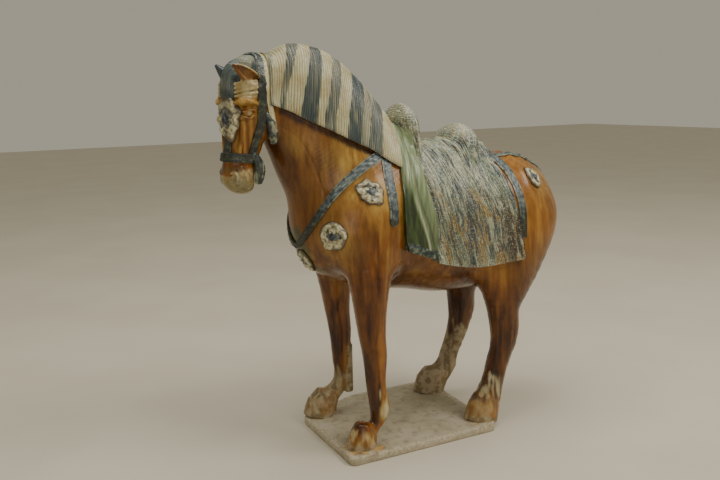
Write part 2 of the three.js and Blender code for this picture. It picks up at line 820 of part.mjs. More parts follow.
figure = solidOf(geometryOf(thin(meshOf(outerShell(figure)), FIGURE_TRIANGLES)));
const aboveSlab = solidOf(new THREE.BoxGeometry(900, 400, 900).translate(0, 0, SLAB_THICK + 448));
figure = outerShell(figure.intersect(aboveSlab).add(slab()));

const finished = geometryOf(meshOf(figure));
const amber = new THREE.MeshStandardMaterial({ color: 0xa8651f, roughness: 0.25, metalness: 0 });
const figureMesh = new THREE.Mesh(finished, amber);
figureMesh.name = "horse_figure";
const group = new THREE.Group();
group.add(figureMesh);
export default group;
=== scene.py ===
import itertools
import math

import bpy
import numpy as np
from mathutils import Matrix, Vector


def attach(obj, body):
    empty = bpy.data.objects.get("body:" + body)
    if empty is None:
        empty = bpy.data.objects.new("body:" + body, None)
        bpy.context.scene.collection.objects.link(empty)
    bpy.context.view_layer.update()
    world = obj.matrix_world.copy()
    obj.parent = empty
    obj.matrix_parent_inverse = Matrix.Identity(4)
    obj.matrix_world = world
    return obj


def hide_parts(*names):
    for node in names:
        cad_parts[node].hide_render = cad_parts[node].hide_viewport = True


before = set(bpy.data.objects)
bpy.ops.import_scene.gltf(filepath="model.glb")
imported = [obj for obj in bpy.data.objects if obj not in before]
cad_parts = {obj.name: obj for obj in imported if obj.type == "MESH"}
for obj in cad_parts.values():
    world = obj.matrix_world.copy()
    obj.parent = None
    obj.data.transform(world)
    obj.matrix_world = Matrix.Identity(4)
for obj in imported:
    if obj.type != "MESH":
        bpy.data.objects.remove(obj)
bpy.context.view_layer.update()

# The figure is worked out in millimetres in the frame of the CAD part: +X is the way the horse faces,
# +Y its left side, +Z up. Meshes are written in metres.
MM = 0.001
FAR = 1e3
NODE = "horse_figure"

LEG_SPREAD = 85.0  # half the distance between the left and right legs
SLAB_THICK = 14.0
HEAD_TURN = math.radians(16)
HEAD_PIVOT = (222.0, 0.0)
HALVES_MEET = -95  # where the front half's mesh meets the rear half's
SIDES = ((1, "near"), (-1, "off"))
BODY_CELL = 2.8
HEAD_CELL = 1.35
LUMP_CELL = 1.2
HEAD_PLANE = 238.0  # where the head's own finer mesh takes over, along its own forward axis


# Numbers and noise.


def curved(g, many):
    """Rows of numbers made finer along smooth curves through them."""
    n = len(g)
    t = np.linspace(0, n - 1, many)
    i = np.minimum(t.astype(int), n - 2)
    f = (t - i).reshape(-1, *([1] * (g.ndim - 1)))
    a, b, c, d = g[np.maximum(i - 1, 0)], g[i], g[i + 1], g[np.minimum(i + 2, n - 1)]
    return b + 0.5 * f * (c - a + f * (2 * a - 5 * b + 4 * c - d + f * (3 * (b - c) + d - a)))


def smooth_rows(rows, per):
    rows = np.array(rows, float)
    return curved(rows, (len(rows) - 1) * per + 1)


def smooth_min(a, b, k):
    h = np.maximum(k - np.abs(a - b), 0) / k
    return np.minimum(a, b) - h * h * k * 0.25


def smooth_max(a, b, k):
    return -smooth_min(-a, -b, k)


def ease(x, low, high):
    """From 0 at low to 1 at high, with soft ends."""
    t = np.clip((x - low) / (high - low), 0, 1)
    return t * t * (3 - 2 * t)


def bump(x, centre, width):
    return np.exp(-(((x - centre) / width) ** 2))


def lattice(seed, cells):
    h = np.full(cells[0].shape, (seed * 374761393 + 12345) & 0xFFFFFFFF, np.uint32)
    for c in cells:
        h = (h ^ c.astype(np.uint32)) * np.uint32(668265263)
        h ^= h >> np.uint32(15)
    h = h * np.uint32(2246822519)
    h ^= h >> np.uint32(13)
    return h.astype(np.float64) / 2**31 - 1


def noise(seed, *xs):
    """Smooth noise from -1 to 1 on a unit lattice."""
    xs = np.broadcast_arrays(*[np.asarray(x, float) for x in xs])
    cells = [np.floor(x) for x in xs]
    parts = [x - c for x, c in zip(xs, cells)]
    parts = [f * f * (3 - 2 * f) for f in parts]
    cells = [c.astype(np.int64) for c in cells]
    total = 0.0
    for corner in itertools.product((0, 1), repeat=len(xs)):
        w = 1.0
        for c, f in zip(corner, parts):
            w = w * (f if c else 1 - f)
        total = total + w * lattice(seed, [cell + c for cell, c in zip(cells, corner)])
    return total


# The horse as a distance field.


def limb(rows, end=0.0, per=4):
    """Rows of x, y, z, radius fore and aft, radius to the side."""
    line = smooth_rows(rows, per)
    reach = line[:, 3:].max() + 40
    low, high = line[:, :3].min(0) - reach, line[:, :3].max(0) + reach
    spans = []
    for a, b in zip(line[:-1], line[1:]):
        along = b[:3] - a[:3]
        run = np.linalg.norm(along)
        along = along / run
        side = np.array([0, 1.0, 0]) - along * along[1]
        side /= np.linalg.norm(side)
        fore = np.cross(side, along)
        spans.append((a[:3], along, run, side, fore, a[3:], b[3:]))

    def field(x, y, z):
        out = np.full(x.shape, FAR)
        near = (x > low[0]) & (x < high[0]) & (y > low[1]) & (y < high[1]) & (z > low[2]) & (z < high[2])
        if not near.any():
            return out
        px, py, pz = x[near], y[near], z[near]
        best = np.full(px.shape, FAR)
        for o, al, run, sd, fo, r0, r1 in spans:
            qx, qy, qz = px - o[0], py - o[1], pz - o[2]
            t = np.clip((qx * al[0] + qy * al[1] + qz * al[2]) / run, 0, 1)
            shift = t * run
            qx = qx - al[0] * shift
            qy = qy - al[1] * shift
            qz = qz - al[2] * shift
            ra = r0[0] + t * (r1[0] - r0[0])
            rb = r0[1] + t * (r1[1] - r0[1])
            rc = end if end else (ra + rb) / 2
            r = np.sqrt(qx * qx + qy * qy + qz * qz)
            k = np.sqrt(
                ((qx * fo[0] + qy * fo[1] + qz * fo[2]) / ra) ** 2
                + ((qx * sd[0] + qy * sd[1] + qz * sd[2]) / rb) ** 2
                + ((qx * al[0] + qy * al[1] + qz * al[2]) / rc) ** 2
            )
            best = np.minimum(best, np.where(k > 1e-6, r - r / np.maximum(k, 1e-6), -np.minimum(ra, rb)))
        out[near] = best
        return out

    return field


def egg(centre, radii, tilt=0.0):
    (cx, cy, cz), (a, b, c) = centre, radii
    reach = max(radii) + 40
    ct, st = math.cos(tilt), math.sin(tilt)

    def field(x, y, z):
        qx, qy, qz = x - cx, y - cy, z - cz
        rr = qx * qx + qy * qy + qz * qz
        ux, uz = ct * qx - st * qz, st * qx + ct * qz
        r = np.sqrt(rr)
        k = np.sqrt((ux / a) ** 2 + (qy / b) ** 2 + (uz / c) ** 2)
        d = np.where(k > 1e-6, r - r / np.maximum(k, 1e-6), -min(radii))
        return np.where(rr > reach * reach, FAR, d)

    return field


def sided(rows, s):
    """Rows for the near side (s 1), or mirrored for the off side (s -1)."""
    return [[row[0], s * row[1], *row[2:]] for row in rows]


L = LEG_SPREAD
TORSO = [
    [136, 0, 362, 70, 62], [100, 0, 373, 101, 86], [45, 0, 382, 118, 97], [-35, 0, 373, 121, 101],
    [-115, 0, 361, 123, 103], [-185, 0, 367, 115, 100], [-236, 0, 383, 103, 95], [-277, 0, 379, 85, 80],
]
NECK = [
    [52, 0, 420, 108, 82], [97, 0, 484, 109, 68], [138, 0, 549, 98, 54], [176, 0, 597, 82, 45],
    [206, 2, 626, 53, 39],
]
FORELEG = [
    [72, 58, 398, 72, 40], [83, 70, 338, 52, 36], [89, 79, 285, 34, 30], [90, L, 213, 24, 21.5],
    [85, L, 168, 21, 18.5], [84, L, 118, 16.5, 15.5], [78, L, 82, 17.5, 16], [79, L, 64, 15, 14],
    [87, L, 48, 10, 10.5], [101, L, 34, 12, 12],
]
OFF_PASTERN = [[82, L, 78, 16, 16], [87, L, 56, 14, 16], [101, L, 34, 18, 20]]
MENDED_BLOCK = [[48, -L, 136, 8, 10], [50, -L, 50, 10, 11]]
HINDLEG = [
    [-224, 54, 372, 82, 44], [-214, 64, 318, 74, 42], [-192, 75, 262, 54, 34], [-182, 82, 215, 32, 26],
    [-184, L, 166, 27, 20], [-171, L, 122, 20, 18], [-158, L, 82, 21, 18], [-149, L, 56, 23, 20],
    [-138, L, 30, 26, 23],
]


def off_foreleg(x, y, z, a, b):
    return [x - 22 * ease(380 - z, 0, 160) * ease(z - 24, 0, 60), y, z, a, b]


def off_hindleg(x, y, z, a, b):
    slim = 3.5 if z < 100 else 0
    return [x - 24 * ease(400 - z, 0, 200) * ease(z - 22, 0, 40) + slim, y, z, a - slim, b]


OFF_FORELEG = [off_foreleg(*row) for row in sided(FORELEG[:6] + OFF_PASTERN, -1)]
OFF_HINDLEG = [off_hindleg(*row) for row in sided(HINDLEG, -1)]
NEAR_EAR = [[262, 28, 612, 11, 9], [280, 35, 622, 13, 8], [300, 38, 634, 9, 6], [313, 37, 641, 3, 3]]
OFF_EAR = [[262, -28, 613, 11, 9], [276, -33, 627, 11, 8], [293, -35, 643, 3, 3]]
SKULL = [
    [238, 0, 628, 34, 34], [259, 0, 602, 39, 37], [268, 0, 568, 38, 33],
    [272, 0, 530, 31, 27], [281, 0, 502, 28, 22.5], [287, 0, 476, 27, 24],
]
TAIL = [[-304, 0, 426, 12, 11], [-322, 0, 404, 11, 10], [-330, 0, 372, 10, 9], [-327, 0, 348, 7, 7]]


def hoof(x, y, reach, lean):
    rows = [
        [x - lean, y, SLAB_THICK + 38, 0.62 * reach, 0.62 * reach],
        [x - 0.4 * lean, y, SLAB_THICK + 20, 0.88 * reach, 0.8 * reach],
        [x, y, SLAB_THICK - 2, reach, 0.88 * reach],
    ]
    return limb(rows, 6)


def ear(s, rows, outward):
    shell = limb(rows, 2)
    bowl = limb([[x + 2, y + s * outward, z + 1, 0.62 * a, 0.62 * b] for x, y, z, a, b in rows], 2)
    return lambda x, y, z: smooth_max(shell(x, y, z), -bowl(x, y, z), 2)


# Fine ridges of the head's near side: the rows of a limb, its end radius and how softly it joins on.
# They are the upper lid, two creases under the eye and the cheekbone.
HEAD_RIDGES = [
    ([[268, 34, 582, 3, 4], [281, 35.5, 587, 4, 5], [294, 30, 588, 4, 5], [302, 21, 586, 3, 4]], 2, 4),
    ([[272, 34, 572, 1.2, 1.2], [283, 36, 575, 1.8, 1.8], [294, 31, 573, 1.2, 1.2]], 1.5, 2),
    ([[274, 33, 567, 1.0, 1.0], [285, 34.5, 563, 1.3, 1.3], [294, 30, 566, 1.0, 1.0]], 1.5, 2),
    ([[292, 25, 556, 4, 3], [293, 23, 530, 4, 3], [296, 20, 512, 3, 3]], 3, 5),
]
# Each brow fold's height at its front and behind, and its width.
BROW_FOLDS = [(596, 599, 3.4), (602, 606, 3.2), (608, 612, 2.8), (614, 616, 2.2)]
# Each lip fold's place and half its height.
LIP_FOLDS = [(281, 478, 10), (290, 475, 12)]
LIP_CUTS = [
    [[303, 22, 484, 1.4, 3], [300, 24, 476, 2, 4], [303, 22, 466, 1.4, 3]],
    [[272, 24, 473, 1, 3], [276, 24, 464, 1.2, 4], [283, 21, 457, 1, 3]],
]


def head_ridges(s):
    ridges = list(HEAD_RIDGES)
    for low, high, wide in BROW_FOLDS:
        fold = [[299, 20, low, 2.5, wide], [288, 32, high, 3, wide], [272, 37, high + 2, 2.5, wide]]
        ridges.append((fold, 2.5, 2.5))
    for x, z, tall in LIP_FOLDS:
        ridges.append(([[x - 3, 19, z - tall, 2, 3], [x, 23, z, 2.4, 4], [x + 5, 20, z + tall, 2, 3]], 2, 3))
    return [(limb(sided(rows, s), end), soft) for rows, end, soft in ridges]


def head_field(fine):
    """The head before it is turned. The fine one has lids, wrinkles and folds, the plain one a mouth line."""
    skull = limb(SKULL, 24)
    lips = egg((284, 0, 461), (22, 19, 14), -0.35)
    parts = [(egg((258, 0, 640), (24, 25, 17)), 8)]
    for s in (1, -1):
        parts += [
            (egg((250, 23 * s, 566), (30, 13, 35), 0.25), 14),
            (egg((286, 28 * s, 590), (14, 9, 8), 0.2), 8),
            (egg((285, 30 * s, 571), (8, 6.5, 6)), 3),
            (egg((301, 15 * s, 476), (10, 8, 13), -0.3), 6),
        ]
        parts += head_ridges(s) if fine else []
    parts += [(ear(1, NEAR_EAR, 6), 4), (ear(-1, OFF_EAR, 5), 4)]
    hollows = [(egg((309, 17 * s, 473), (5, 6, 7), -0.3), 3) for s in (1, -1)]
    if fine:
        hollows += [(limb(sided(rows, s), 1.5), 2) for s in (1, -1) for rows in LIP_CUTS]
    else:
        hollows.append((egg((288, 0, 463), (34, 40, 1.6), -0.4), 2))

    def field(x, y, z):
        d = smooth_min(skull(x, y, z), lips(x, y, z), 12)
        for part, k in parts:
            d = smooth_min(d, part(x, y, z), k)
        for hollow, k in hollows:
            d = smooth_max(d, -hollow(x, y, z), k)
        return d

    return field


def swung(x, y, angle):
    """Points swung about the head's pivot, seen from above."""
    c, s = math.cos(angle), math.sin(angle)
    dx, dy = x - HEAD_PIVOT[0], y - HEAD_PIVOT[1]
    return HEAD_PIVOT[0] + c * dx - s * dy, HEAD_PIVOT[1] + s * dx + c * dy


def unturn(x, y):
    return swung(x, y, -HEAD_TURN)


def turn(points):
    """Points of the head before it is turned, as they are after."""
    x, y, z = np.moveaxis(np.array(points, float), -1, 0)
    return np.stack([*swung(x, y, HEAD_TURN), z], -1)


def horse_field(fine):
    head = head_field(fine)
    forms = [
        (limb(TORSO, 46), 1),
        (limb(NECK, 30, per=12), 40),
        (limb(FORELEG), 26),
        (limb(OFF_FORELEG), 26),
        (limb(HINDLEG), 30),
        (limb(OFF_HINDLEG), 30),
        (lambda x, y, z: head(*unturn(x, y), z), 14),
    ]
    forms += [(hoof(113, L, 25, 4), 7), (hoof(110, -L, 31, 15), 9)]
    forms += [(hoof(-131, L, 31, 10), 9), (hoof(-130, -L, 32, 12), 9), (limb(MENDED_BLOCK, 4), 3)]
    for s in (1, -1):
        forms += [
            (egg((112, 48 * s, 372), (46, 42, 52), 0.2), 30),
            (egg((-204, 72 * s, 300), (34, 26, 42), 0.3), 24),
            (egg((-267, 44 * s, 352), (44, 42, 62), -0.2), 30),
        ]
    forms.append((limb(TAIL, 8), 6))

    def field(x, y, z):
        d = np.full(x.shape, FAR)
        for form, k in forms:
            d = smooth_min(d, form(x, y, z), k)
        return d

    return field


CHUNK = 16384


def in_chunks(field, p):
    p = p.reshape(-1, 3)
    out = np.empty(len(p))
    for i in range(0, len(p), CHUNK):
        q = p[i : i + CHUNK]
        out[i : i + CHUNK] = field(q[:, 0], q[:, 1], q[:, 2])
    return out


horse = horse_field(False)
POMMEL = ((-20, 0, 508), (18, 56, 62), 0.02)
CANTLE = ((-127, 0, 474), (34, 58, 59), -0.25)


def saddled_field():
    """The horse with its saddle."""
    pommel, cantle = egg(*POMMEL), egg(*CANTLE)
    seat, roll = egg((-84, 0, 460), (72, 62, 48)), egg((-176, 0, 474), (22, 36, 30))

    def field(x, y, z):
        one = smooth_min(pommel(x, y, z), cantle(x, y, z), 10)
        two = smooth_min(seat(x, y, z), roll(x, y, z), 12)
        return smooth_min(horse(x, y, z), smooth_min(one, two, 16), 18)

    return field


saddled = saddled_field()


def slope(field, p, h=0.4):
    """Outward unit slope of the field at p."""
    p = p.reshape(-1, 3)
    g = np.empty_like(p)
    for axis in range(3):
        d = np.zeros(3)
        d[axis] = h
        g[:, axis] = in_chunks(field, p + d) - in_chunks(field, p - d)
    return g / np.maximum(np.linalg.norm(g, axis=1, keepdims=True), 1e-9)


def skin_at(field, p, rounds=5):
    """Points slid on to the skin, and the way out there."""
    shape = p.shape
    p = p.reshape(-1, 3).copy()
    for _ in range(rounds):
        out = slope(field, p, 0.5)
        p -= out * np.clip(in_chunks(field, p), -12, 12)[:, None]
    return p.reshape(shape), slope(field, p, 1.5).reshape(shape)


def reach_skin(field, heart, aim, reach=230.0):
    """Where rays from far outside towards the heart meet the skin."""
    shape = heart.shape
    heart, aim = heart.reshape(-1, 3), aim.reshape(-1, 3)
    left = np.full(len(heart), reach)
    live = np.ones(len(heart), bool)
    for _ in range(70):
        d = in_chunks(field, heart[live] + aim[live] * left[live, None])
        left[live] -= np.where(np.abs(d) < 0.05, 0, np.minimum(d * 0.8, 10))
        moving = (np.abs(d) >= 0.05) & (left[live] > 0)
        live[np.flatnonzero(live)] = moving
        if not live.any():
            break
    return (heart + aim * left[:, None]).reshape(shape)


# Meshes.


def write_mesh(name, material, slot, verts, faces, normals=None, **attributes):
    """A piece of the figure from points in mm and rows of four vertex numbers."""
    me = bpy.data.meshes.new(name)
    me.vertices.add(len(verts))
    me.vertices.foreach_set("co", (np.asarray(verts) * MM).astype(np.float32).ravel())
    me.loops.add(faces.size)
    me.loops.foreach_set("vertex_index", faces.astype(np.int32).ravel())
    me.polygons.add(len(faces))
    me.polygons.foreach_set("loop_start", np.arange(len(faces), dtype=np.int32) * 4)
    me.update(calc_edges=True)
    me.polygons.foreach_set("use_smooth", np.ones(len(faces), bool))
    for key, value in attributes.items():
        at = me.attributes.new(key, "FLOAT", "POINT")
        at.data.foreach_set("value", np.resize(value, len(verts)).astype(np.float32))
    if normals is not None:
        me.normals_split_custom_set_from_vertices(normals.astype(np.float32))
    me.materials.append(material)
    o = bpy.data.objects.new(name, me)
    bpy.context.scene.collection.objects.link(o)
    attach(o, "root")
    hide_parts(NODE)


def used_only(verts, faces):
    used = np.unique(faces)
    new = np.full(len(verts), -1)
    new[used] = np.arange(len(used))
    return verts[used], new[faces]


def quads_of(ids):
    """Faces between the neighbours in a grid of vertex numbers."""
    return np.stack([ids[:-1, :-1], ids[:-1, 1:], ids[1:, 1:], ids[1:, :-1]], -1).reshape(-1, 4)


CORNERS = list(itertools.product((0, 1), repeat=3))


def enlarged(a, k):
    return a.repeat(k, 0).repeat(k, 1).repeat(k, 2)


def from_corner(a, corner, shape):
    """The part of a grid, of this shape, that starts at a corner of its first cell."""
    return a[tuple(slice(c, c + n) for c, n in zip(corner, shape))]


def surface_net(field, low, high, cell, sparse=4):
    """A smooth closed mesh of where the field is zero. A sparse grid finds the cells to work out in full."""
    low = np.array(low, float)
    big = cell * sparse
    blocks = np.ceil((np.array(high) - low) / big).astype(int)
    axes = [low[i] + big * np.arange(blocks[i] + 1) for i in range(3)]
    rough = in_chunks(field, np.stack(np.meshgrid(*axes, indexing="ij"), -1)).reshape(blocks + 1)
    near = np.abs(rough) < big * 1.7
    block = np.any([from_corner(near, c, blocks) for c in CORNERS], axis=0)
    n = blocks * sparse + 1
    value = enlarged(rough, sparse)[: n[0], : n[1], : n[2]].astype(np.float32)
    wanted = np.zeros(n, bool)
    fine = enlarged(block, sparse)
    for c in CORNERS:
        from_corner(wanted, c, fine.shape)[...] |= fine
    value[wanted] = in_chunks(field, low + np.argwhere(wanted) * cell)
    inside = (value < 0).astype(np.int8)
    count = sum(from_corner(inside, c, n - 1) for c in CORNERS)
    active = (count > 0) & (count < 8)
    cells = np.argwhere(active)
    index = np.full(n - 1, -1, np.int64)
    index[active] = np.arange(len(cells))
    total, hits = np.zeros((len(cells), 3)), np.zeros(len(cells))
    corners = {c: value[tuple((cells + c).T)] for c in CORNERS}
    for a, axis in itertools.product(CORNERS, range(3)):
        if a[axis]:
            continue
        b = tuple(1 if i == axis else c for i, c in enumerate(a))
        va, vb = corners[a], corners[b]
        cross = (va < 0) != (vb < 0)
        at = np.tile(np.array(a, float), (len(cells), 1))
        at[:, axis] = np.where(cross, va / np.where(cross, va - vb, 1), 0)
        total += at * cross[:, None]
        hits += cross
    faces = []
    for axis in range(3):
        others = [(axis + 1) % 3, (axis + 2) % 3]
        change = np.diff(inside, axis=axis)
        edge = np.argwhere(change)
        edge = edge[((edge[:, others] > 0) & (edge[:, others] < n[others] - 1)).all(1)]
        ring = []
        for back in ((-1, -1), (0, -1), (0, 0), (-1, 0)):
            at = edge.copy()
            at[:, others] += back
            ring.append(index[tuple(at.T)])
        quads = np.stack(ring, 1)
        inwards = change[tuple(edge.T)] > 0
        quads[inwards] = quads[inwards][:, ::-1]
        faces.append(quads)
    return low + (cells + total / hits[:, None]) * cell, np.concatenate(faces)


def settle(field, verts, cell, rounds=2, step=0.6):
    """Vertices drawn on to the zero of the field, and the field's slope there."""
    for _ in range(rounds):
        out = slope(field, verts)
        verts = verts - out * np.clip(in_chunks(field, verts), -0.4 * cell, 0.4 * cell)[:, None]
    return verts, slope(field, verts, step)


def upsample(grid, rows, cols):
    """A coarse grid of points made finer both ways."""
    return curved(curved(grid, rows).swapaxes(0, 1), cols).swapaxes(0, 1)


def grid_normals(g):
    n = np.cross(np.gradient(g, axis=0), np.gradient(g, axis=1))
    return n / np.maximum(np.linalg.norm(n, axis=-1, keepdims=True), 1e-9)


def spread(g, axis):
    """Distance along a grid's rows or columns in mm, from each line's start."""
    step = np.linalg.norm(np.diff(g, axis=axis), axis=-1)
    total = np.cumsum(step, axis=axis)
    pad = [(0, 0), (0, 0)]
    pad[axis] = (1, 0)
    return np.pad(total, pad)


def sheet_mesh(name, material, slot, outer, inner, rim=3, **attributes):
    """A sheet whose four edges turn in to the inner points. Both are grids of the same size."""
    ids = np.arange(outer[..., 0].size).reshape(outer.shape[:2])
    flip = ((outer - inner) * grid_normals(outer)).sum() < 0
    quads = quads_of(ids)
    faces = [quads[:, ::-1] if flip else quads]
    outer, inner = outer.reshape(-1, 3), inner.reshape(-1, 3)
    verts = [outer]
    edge = np.concatenate([ids[0, :0:-1], ids[:-1, 0], ids[-1, :-1], ids[:0:-1, -1]])
    ring = edge
    for k in range(1, rim + 1):
        verts.append(outer[edge] * (1 - k / rim) + inner[edge] * (k / rim))
        new = len(outer) + (k - 1) * len(edge) + np.arange(len(edge))
        quads = np.stack([ring, np.roll(ring, -1), np.roll(new, -1), new], 1)
        faces.append(quads if flip else quads[:, ::-1])
        ring = new
    values = {key: np.concatenate([v.ravel(), *[v.ravel()[edge]] * rim]) for key, v in attributes.items()}
    write_mesh(name, material, slot, np.concatenate(verts), np.concatenate(faces), **values)


# Materials.


class Paint:
    """A node material, written from the inside out. What goes into a socket is a number, another node's
    socket, the name of a mesh attribute or a colour by its 0 to 255 screen values."""

    def __init__(self, name, rough, coat, coat_rough=0.08):
        self.material = bpy.data.materials.new(name)
        self.material.use_nodes = True
        self.tree = self.material.node_tree
        self.tree.nodes.clear()
        self.shader = self.tree.nodes.new("ShaderNodeBsdfPrincipled")
        output = self.tree.nodes.new("ShaderNodeOutputMaterial")
        self.tree.links.new(self.shader.outputs[0], output.inputs["Surface"])
        self.shader.inputs["Roughness"].default_value = rough
        self.shader.inputs["Coat Weight"].default_value = coat
        self.shader.inputs["Coat Roughness"].default_value = coat_rough
        self.position = self.tree.nodes.new("ShaderNodeTexCoord").outputs["Object"]

    def put(self, socket, value):
        if isinstance(value, str):
            value = self.make("ShaderNodeAttribute", "Fac", {}, attribute_name=value)
        if isinstance(value, bpy.types.NodeSocket):
            self.tree.links.new(value, socket)
        elif socket.type == "RGBA":
            socket.default_value = (*srgb(*value), 1)
        else:
            socket.default_value = value

    def make(self, kind, out, inputs, **settings):
        """A node with its inputs by name or number."""
        node = self.tree.nodes.new(kind)
        for key, value in settings.items():
            setattr(node, key, value)
        for key, value in inputs.items():
            self.put(node.inputs[key], value)
        return node.outputs[out]

    def math(self, op, a, b):
        return self.make("ShaderNodeMath", 0, {0: a, 1: b}, operation=op)

    def times(self, a, b):
        return self.math("MULTIPLY", a, b)

    def plus(self, a, b):
        return self.math("ADD", a, b)

    def scaled(self, vector, *by):
        return self.make("ShaderNodeVectorMath", 0, {0: vector, 1: by}, operation="MULTIPLY")

    def noise(self, vector, scale=1.0, detail=3.0, rough=0.55, distortion=0.0):
        inputs = {"Vector": vector, "Scale": scale, "Detail": detail, "Roughness": rough}
        inputs["Distortion"] = distortion
        return self.make("ShaderNodeTexNoise", "Fac", inputs)

    def step(self, value, low, high):
        inputs = {"Value": value, "From Min": low, "From Max": high}
        return self.make("ShaderNodeMapRange", "Result", inputs, interpolation_type="SMOOTHSTEP")

    def ramp(self, value, *stops):
        """Stops are (place, colour)."""
        node = self.tree.nodes.new("ShaderNodeValToRGB")
        places = node.color_ramp.elements
        while len(places) < len(stops):
            places.new(0.5)
        for place, (at, colour) in zip(places, stops):
            place.position = at
            place.color = (*srgb(*colour), 1)
        self.put(node.inputs[0], value)
        return node.outputs[0]

    def mix(self, amount, under, over):
        return self.make("ShaderNodeMix", 2, {0: amount, 6: under, 7: over}, data_type="RGBA")

    def layers(self, colour, *pairs):
        """Each pair of an amount and a colour laid over what comes before it."""
        for amount, over in pairs:
            colour = self.mix(amount, colour, over)
        return colour

    def finish(self, colour, height=None, depth=0.0, **inputs):
        """Depth is the height of the bumps in mm."""
        inputs["Base Color"] = colour
        if height is not None:
            bumps = {"Strength": 1.0, "Distance": depth * MM, "Height": height}
            inputs["Normal"] = inputs["Coat Normal"] = self.make("ShaderNodeBump", 0, bumps)
        for key, value in inputs.items():
            self.put(self.shader.inputs[key], value)
        return self.material


def srgb(r, g, b):
    """A colour named by its 0 to 255 screen values."""
    return tuple(((c / 255 + 0.055) / 1.055) ** 2.4 if c > 10 else c / 3295 for c in (r, g, b))


DARK = (40, 22, 14)


def amber_glaze():
    m = Paint("amber_glaze", rough=0.3, coat=0.3, coat_rough=0.12)
    m.shader.inputs["Specular IOR Level"].default_value = 0.25
    runs = m.noise(m.scaled(m.position, 85, 85, 13), 1.0, 4, 0.65)
    clouds = m.noise(m.scaled(m.position, 13, 13, 9), 1.0, 3, 0.5)
    patches = m.step(m.noise(m.position, 70, 4, 0.65), 0.42, 0.58)
    streaks = m.step(runs, 0.4, 0.6)
    # The dark layer is partly glaze runs and partly painted shade, and the honey layer partly thin glaze and
    # partly painted highlight.
    colour = m.layers(
        m.ramp(
            m.plus(m.times(runs, 0.4), m.times(clouds, 0.6)),
            (0.34, (72, 36, 12)), (0.44, (112, 66, 22)), (0.54, (142, 90, 30)), (0.66, (166, 118, 46)),
        ),
        ("honey", m.mix(m.step(runs, 0.35, 0.6), (166, 120, 48), (194, 160, 84))),
        ("dark", m.mix(streaks, DARK, (66, 34, 14))),
        ("cream", m.mix(streaks, (196, 186, 146), (170, 148, 96))),
        ("clay", m.mix(patches, (170, 156, 128), (124, 108, 78))),
        ("green", m.mix(streaks, (62, 62, 30), (96, 98, 56))),
        ("slate", m.mix(streaks, (64, 76, 82), (88, 98, 98))),
    )
    rough = m.plus(m.times("clay", 0.45), m.times(clouds, 0.55))
    coat = m.times(m.math("SUBTRACT", 1.0, "clay"), 0.3)
    return m.finish(colour, m.noise(m.position, 900, 3, 0.6), 0.12, Roughness=rough, **{"Coat Weight": coat})


def mane_glaze():
    m = Paint("mane_glaze", rough=0.4, coat=0.3, coat_rough=0.15)
    p = m.position
    creams = (0.35, (186, 172, 126)), (0.55, (206, 200, 160)), (0.7, (214, 212, 180))
    cream = m.ramp(m.noise(p, 34, 3, 0.6), *creams)
    soft = m.step(m.noise(p, 40, 3, 0.6), 0.5, 0.75)
    # The groove layer is painted shade between the mane's locks, and the dark layer a painted shadow along its
    # lower edges; on the forelock and pad the groove is random dark tone, and the forelock is darker at its
    # lower end.
    colour = m.layers(
        m.mix("blue", cream, m.mix("tint", (120, 126, 112), (58, 74, 74))),
        (m.times(soft, 0.3), (170, 172, 156)),
        (m.times("groove", 0.65), m.mix("blue", (122, 110, 76), (36, 44, 46))),
        ("dark", DARK),
        ("slate", m.ramp(m.noise(p, 60, 3, 0.6), (0.4, (34, 48, 50)), (0.6, (70, 84, 84)))),
    )
    return m.finish(colour, m.noise(p, 700, 2, 0.5), 0.1)


def cloth_glaze():
    m = Paint("speckled_glaze", rough=0.4, coat=0.4, coat_rough=0.15)
    p = m.position
    spots = m.step(m.noise(p, 140, 3, 0.6), 0.54, 0.66)
    specks = m.step(m.noise(p, 300, 3, 0.7), 0.5, 0.62)
    # The glints are painted highlights, and the groove layer below is painted shade between the locks and
    # curls.
    glints = m.step(m.noise(p, 390, 2, 0.7), 0.55, 0.65)
    colour = m.layers(
        m.mix("light", (130, 144, 122), (206, 208, 180)),
        ("amber", m.mix(m.noise(p, 90, 2, 0.5), (160, 124, 66), (214, 188, 128))),
        ("navy", m.mix(m.noise(p, 70, 2, 0.5), (36, 48, 64), (92, 110, 126))),
        ("brown", (84, 58, 38)),
        (m.times(spots, 0.4), (176, 142, 88)),
        (m.times("groove", 0.9), (40, 46, 38)),
        (m.times(specks, 0.55), (48, 58, 54)),
        (m.times(glints, 0.6), (214, 218, 196)),
    )
    return m.finish(colour, m.noise(p, 800, 2, 0.5), 0.12)


def green_glaze():
    m = Paint("green_glaze", rough=0.38, coat=0.35, coat_rough=0.2)
    at = m.make("ShaderNodeCombineXYZ", 0, {"X": "a", "Y": "b"})
    runs = m.noise(m.scaled(at, 0.16, 0.022, 1), 1.0, 3, 0.6)
    blotch = m.noise(m.position, 160, 3, 0.6)
    # The pale layer is painted highlight and the groove layer painted shade.
    colour = m.layers(
        m.ramp(runs, (0.35, (104, 122, 80)), (0.5, (132, 146, 106)), (0.62, (150, 162, 124))),
        ("low", m.mix(m.step(runs, 0.42, 0.64), (34, 50, 16), (64, 84, 36))),
        ("pale", (196, 198, 170)),
        ("navy", m.ramp(blotch, (0.38, (26, 36, 38)), (0.52, (54, 72, 66)), (0.64, (126, 132, 110)))),
        (m.times("groove", 0.6), (36, 46, 22)),
    )
    return m.finish(colour, m.noise(m.position, 700, 2, 0.5), 0.12)


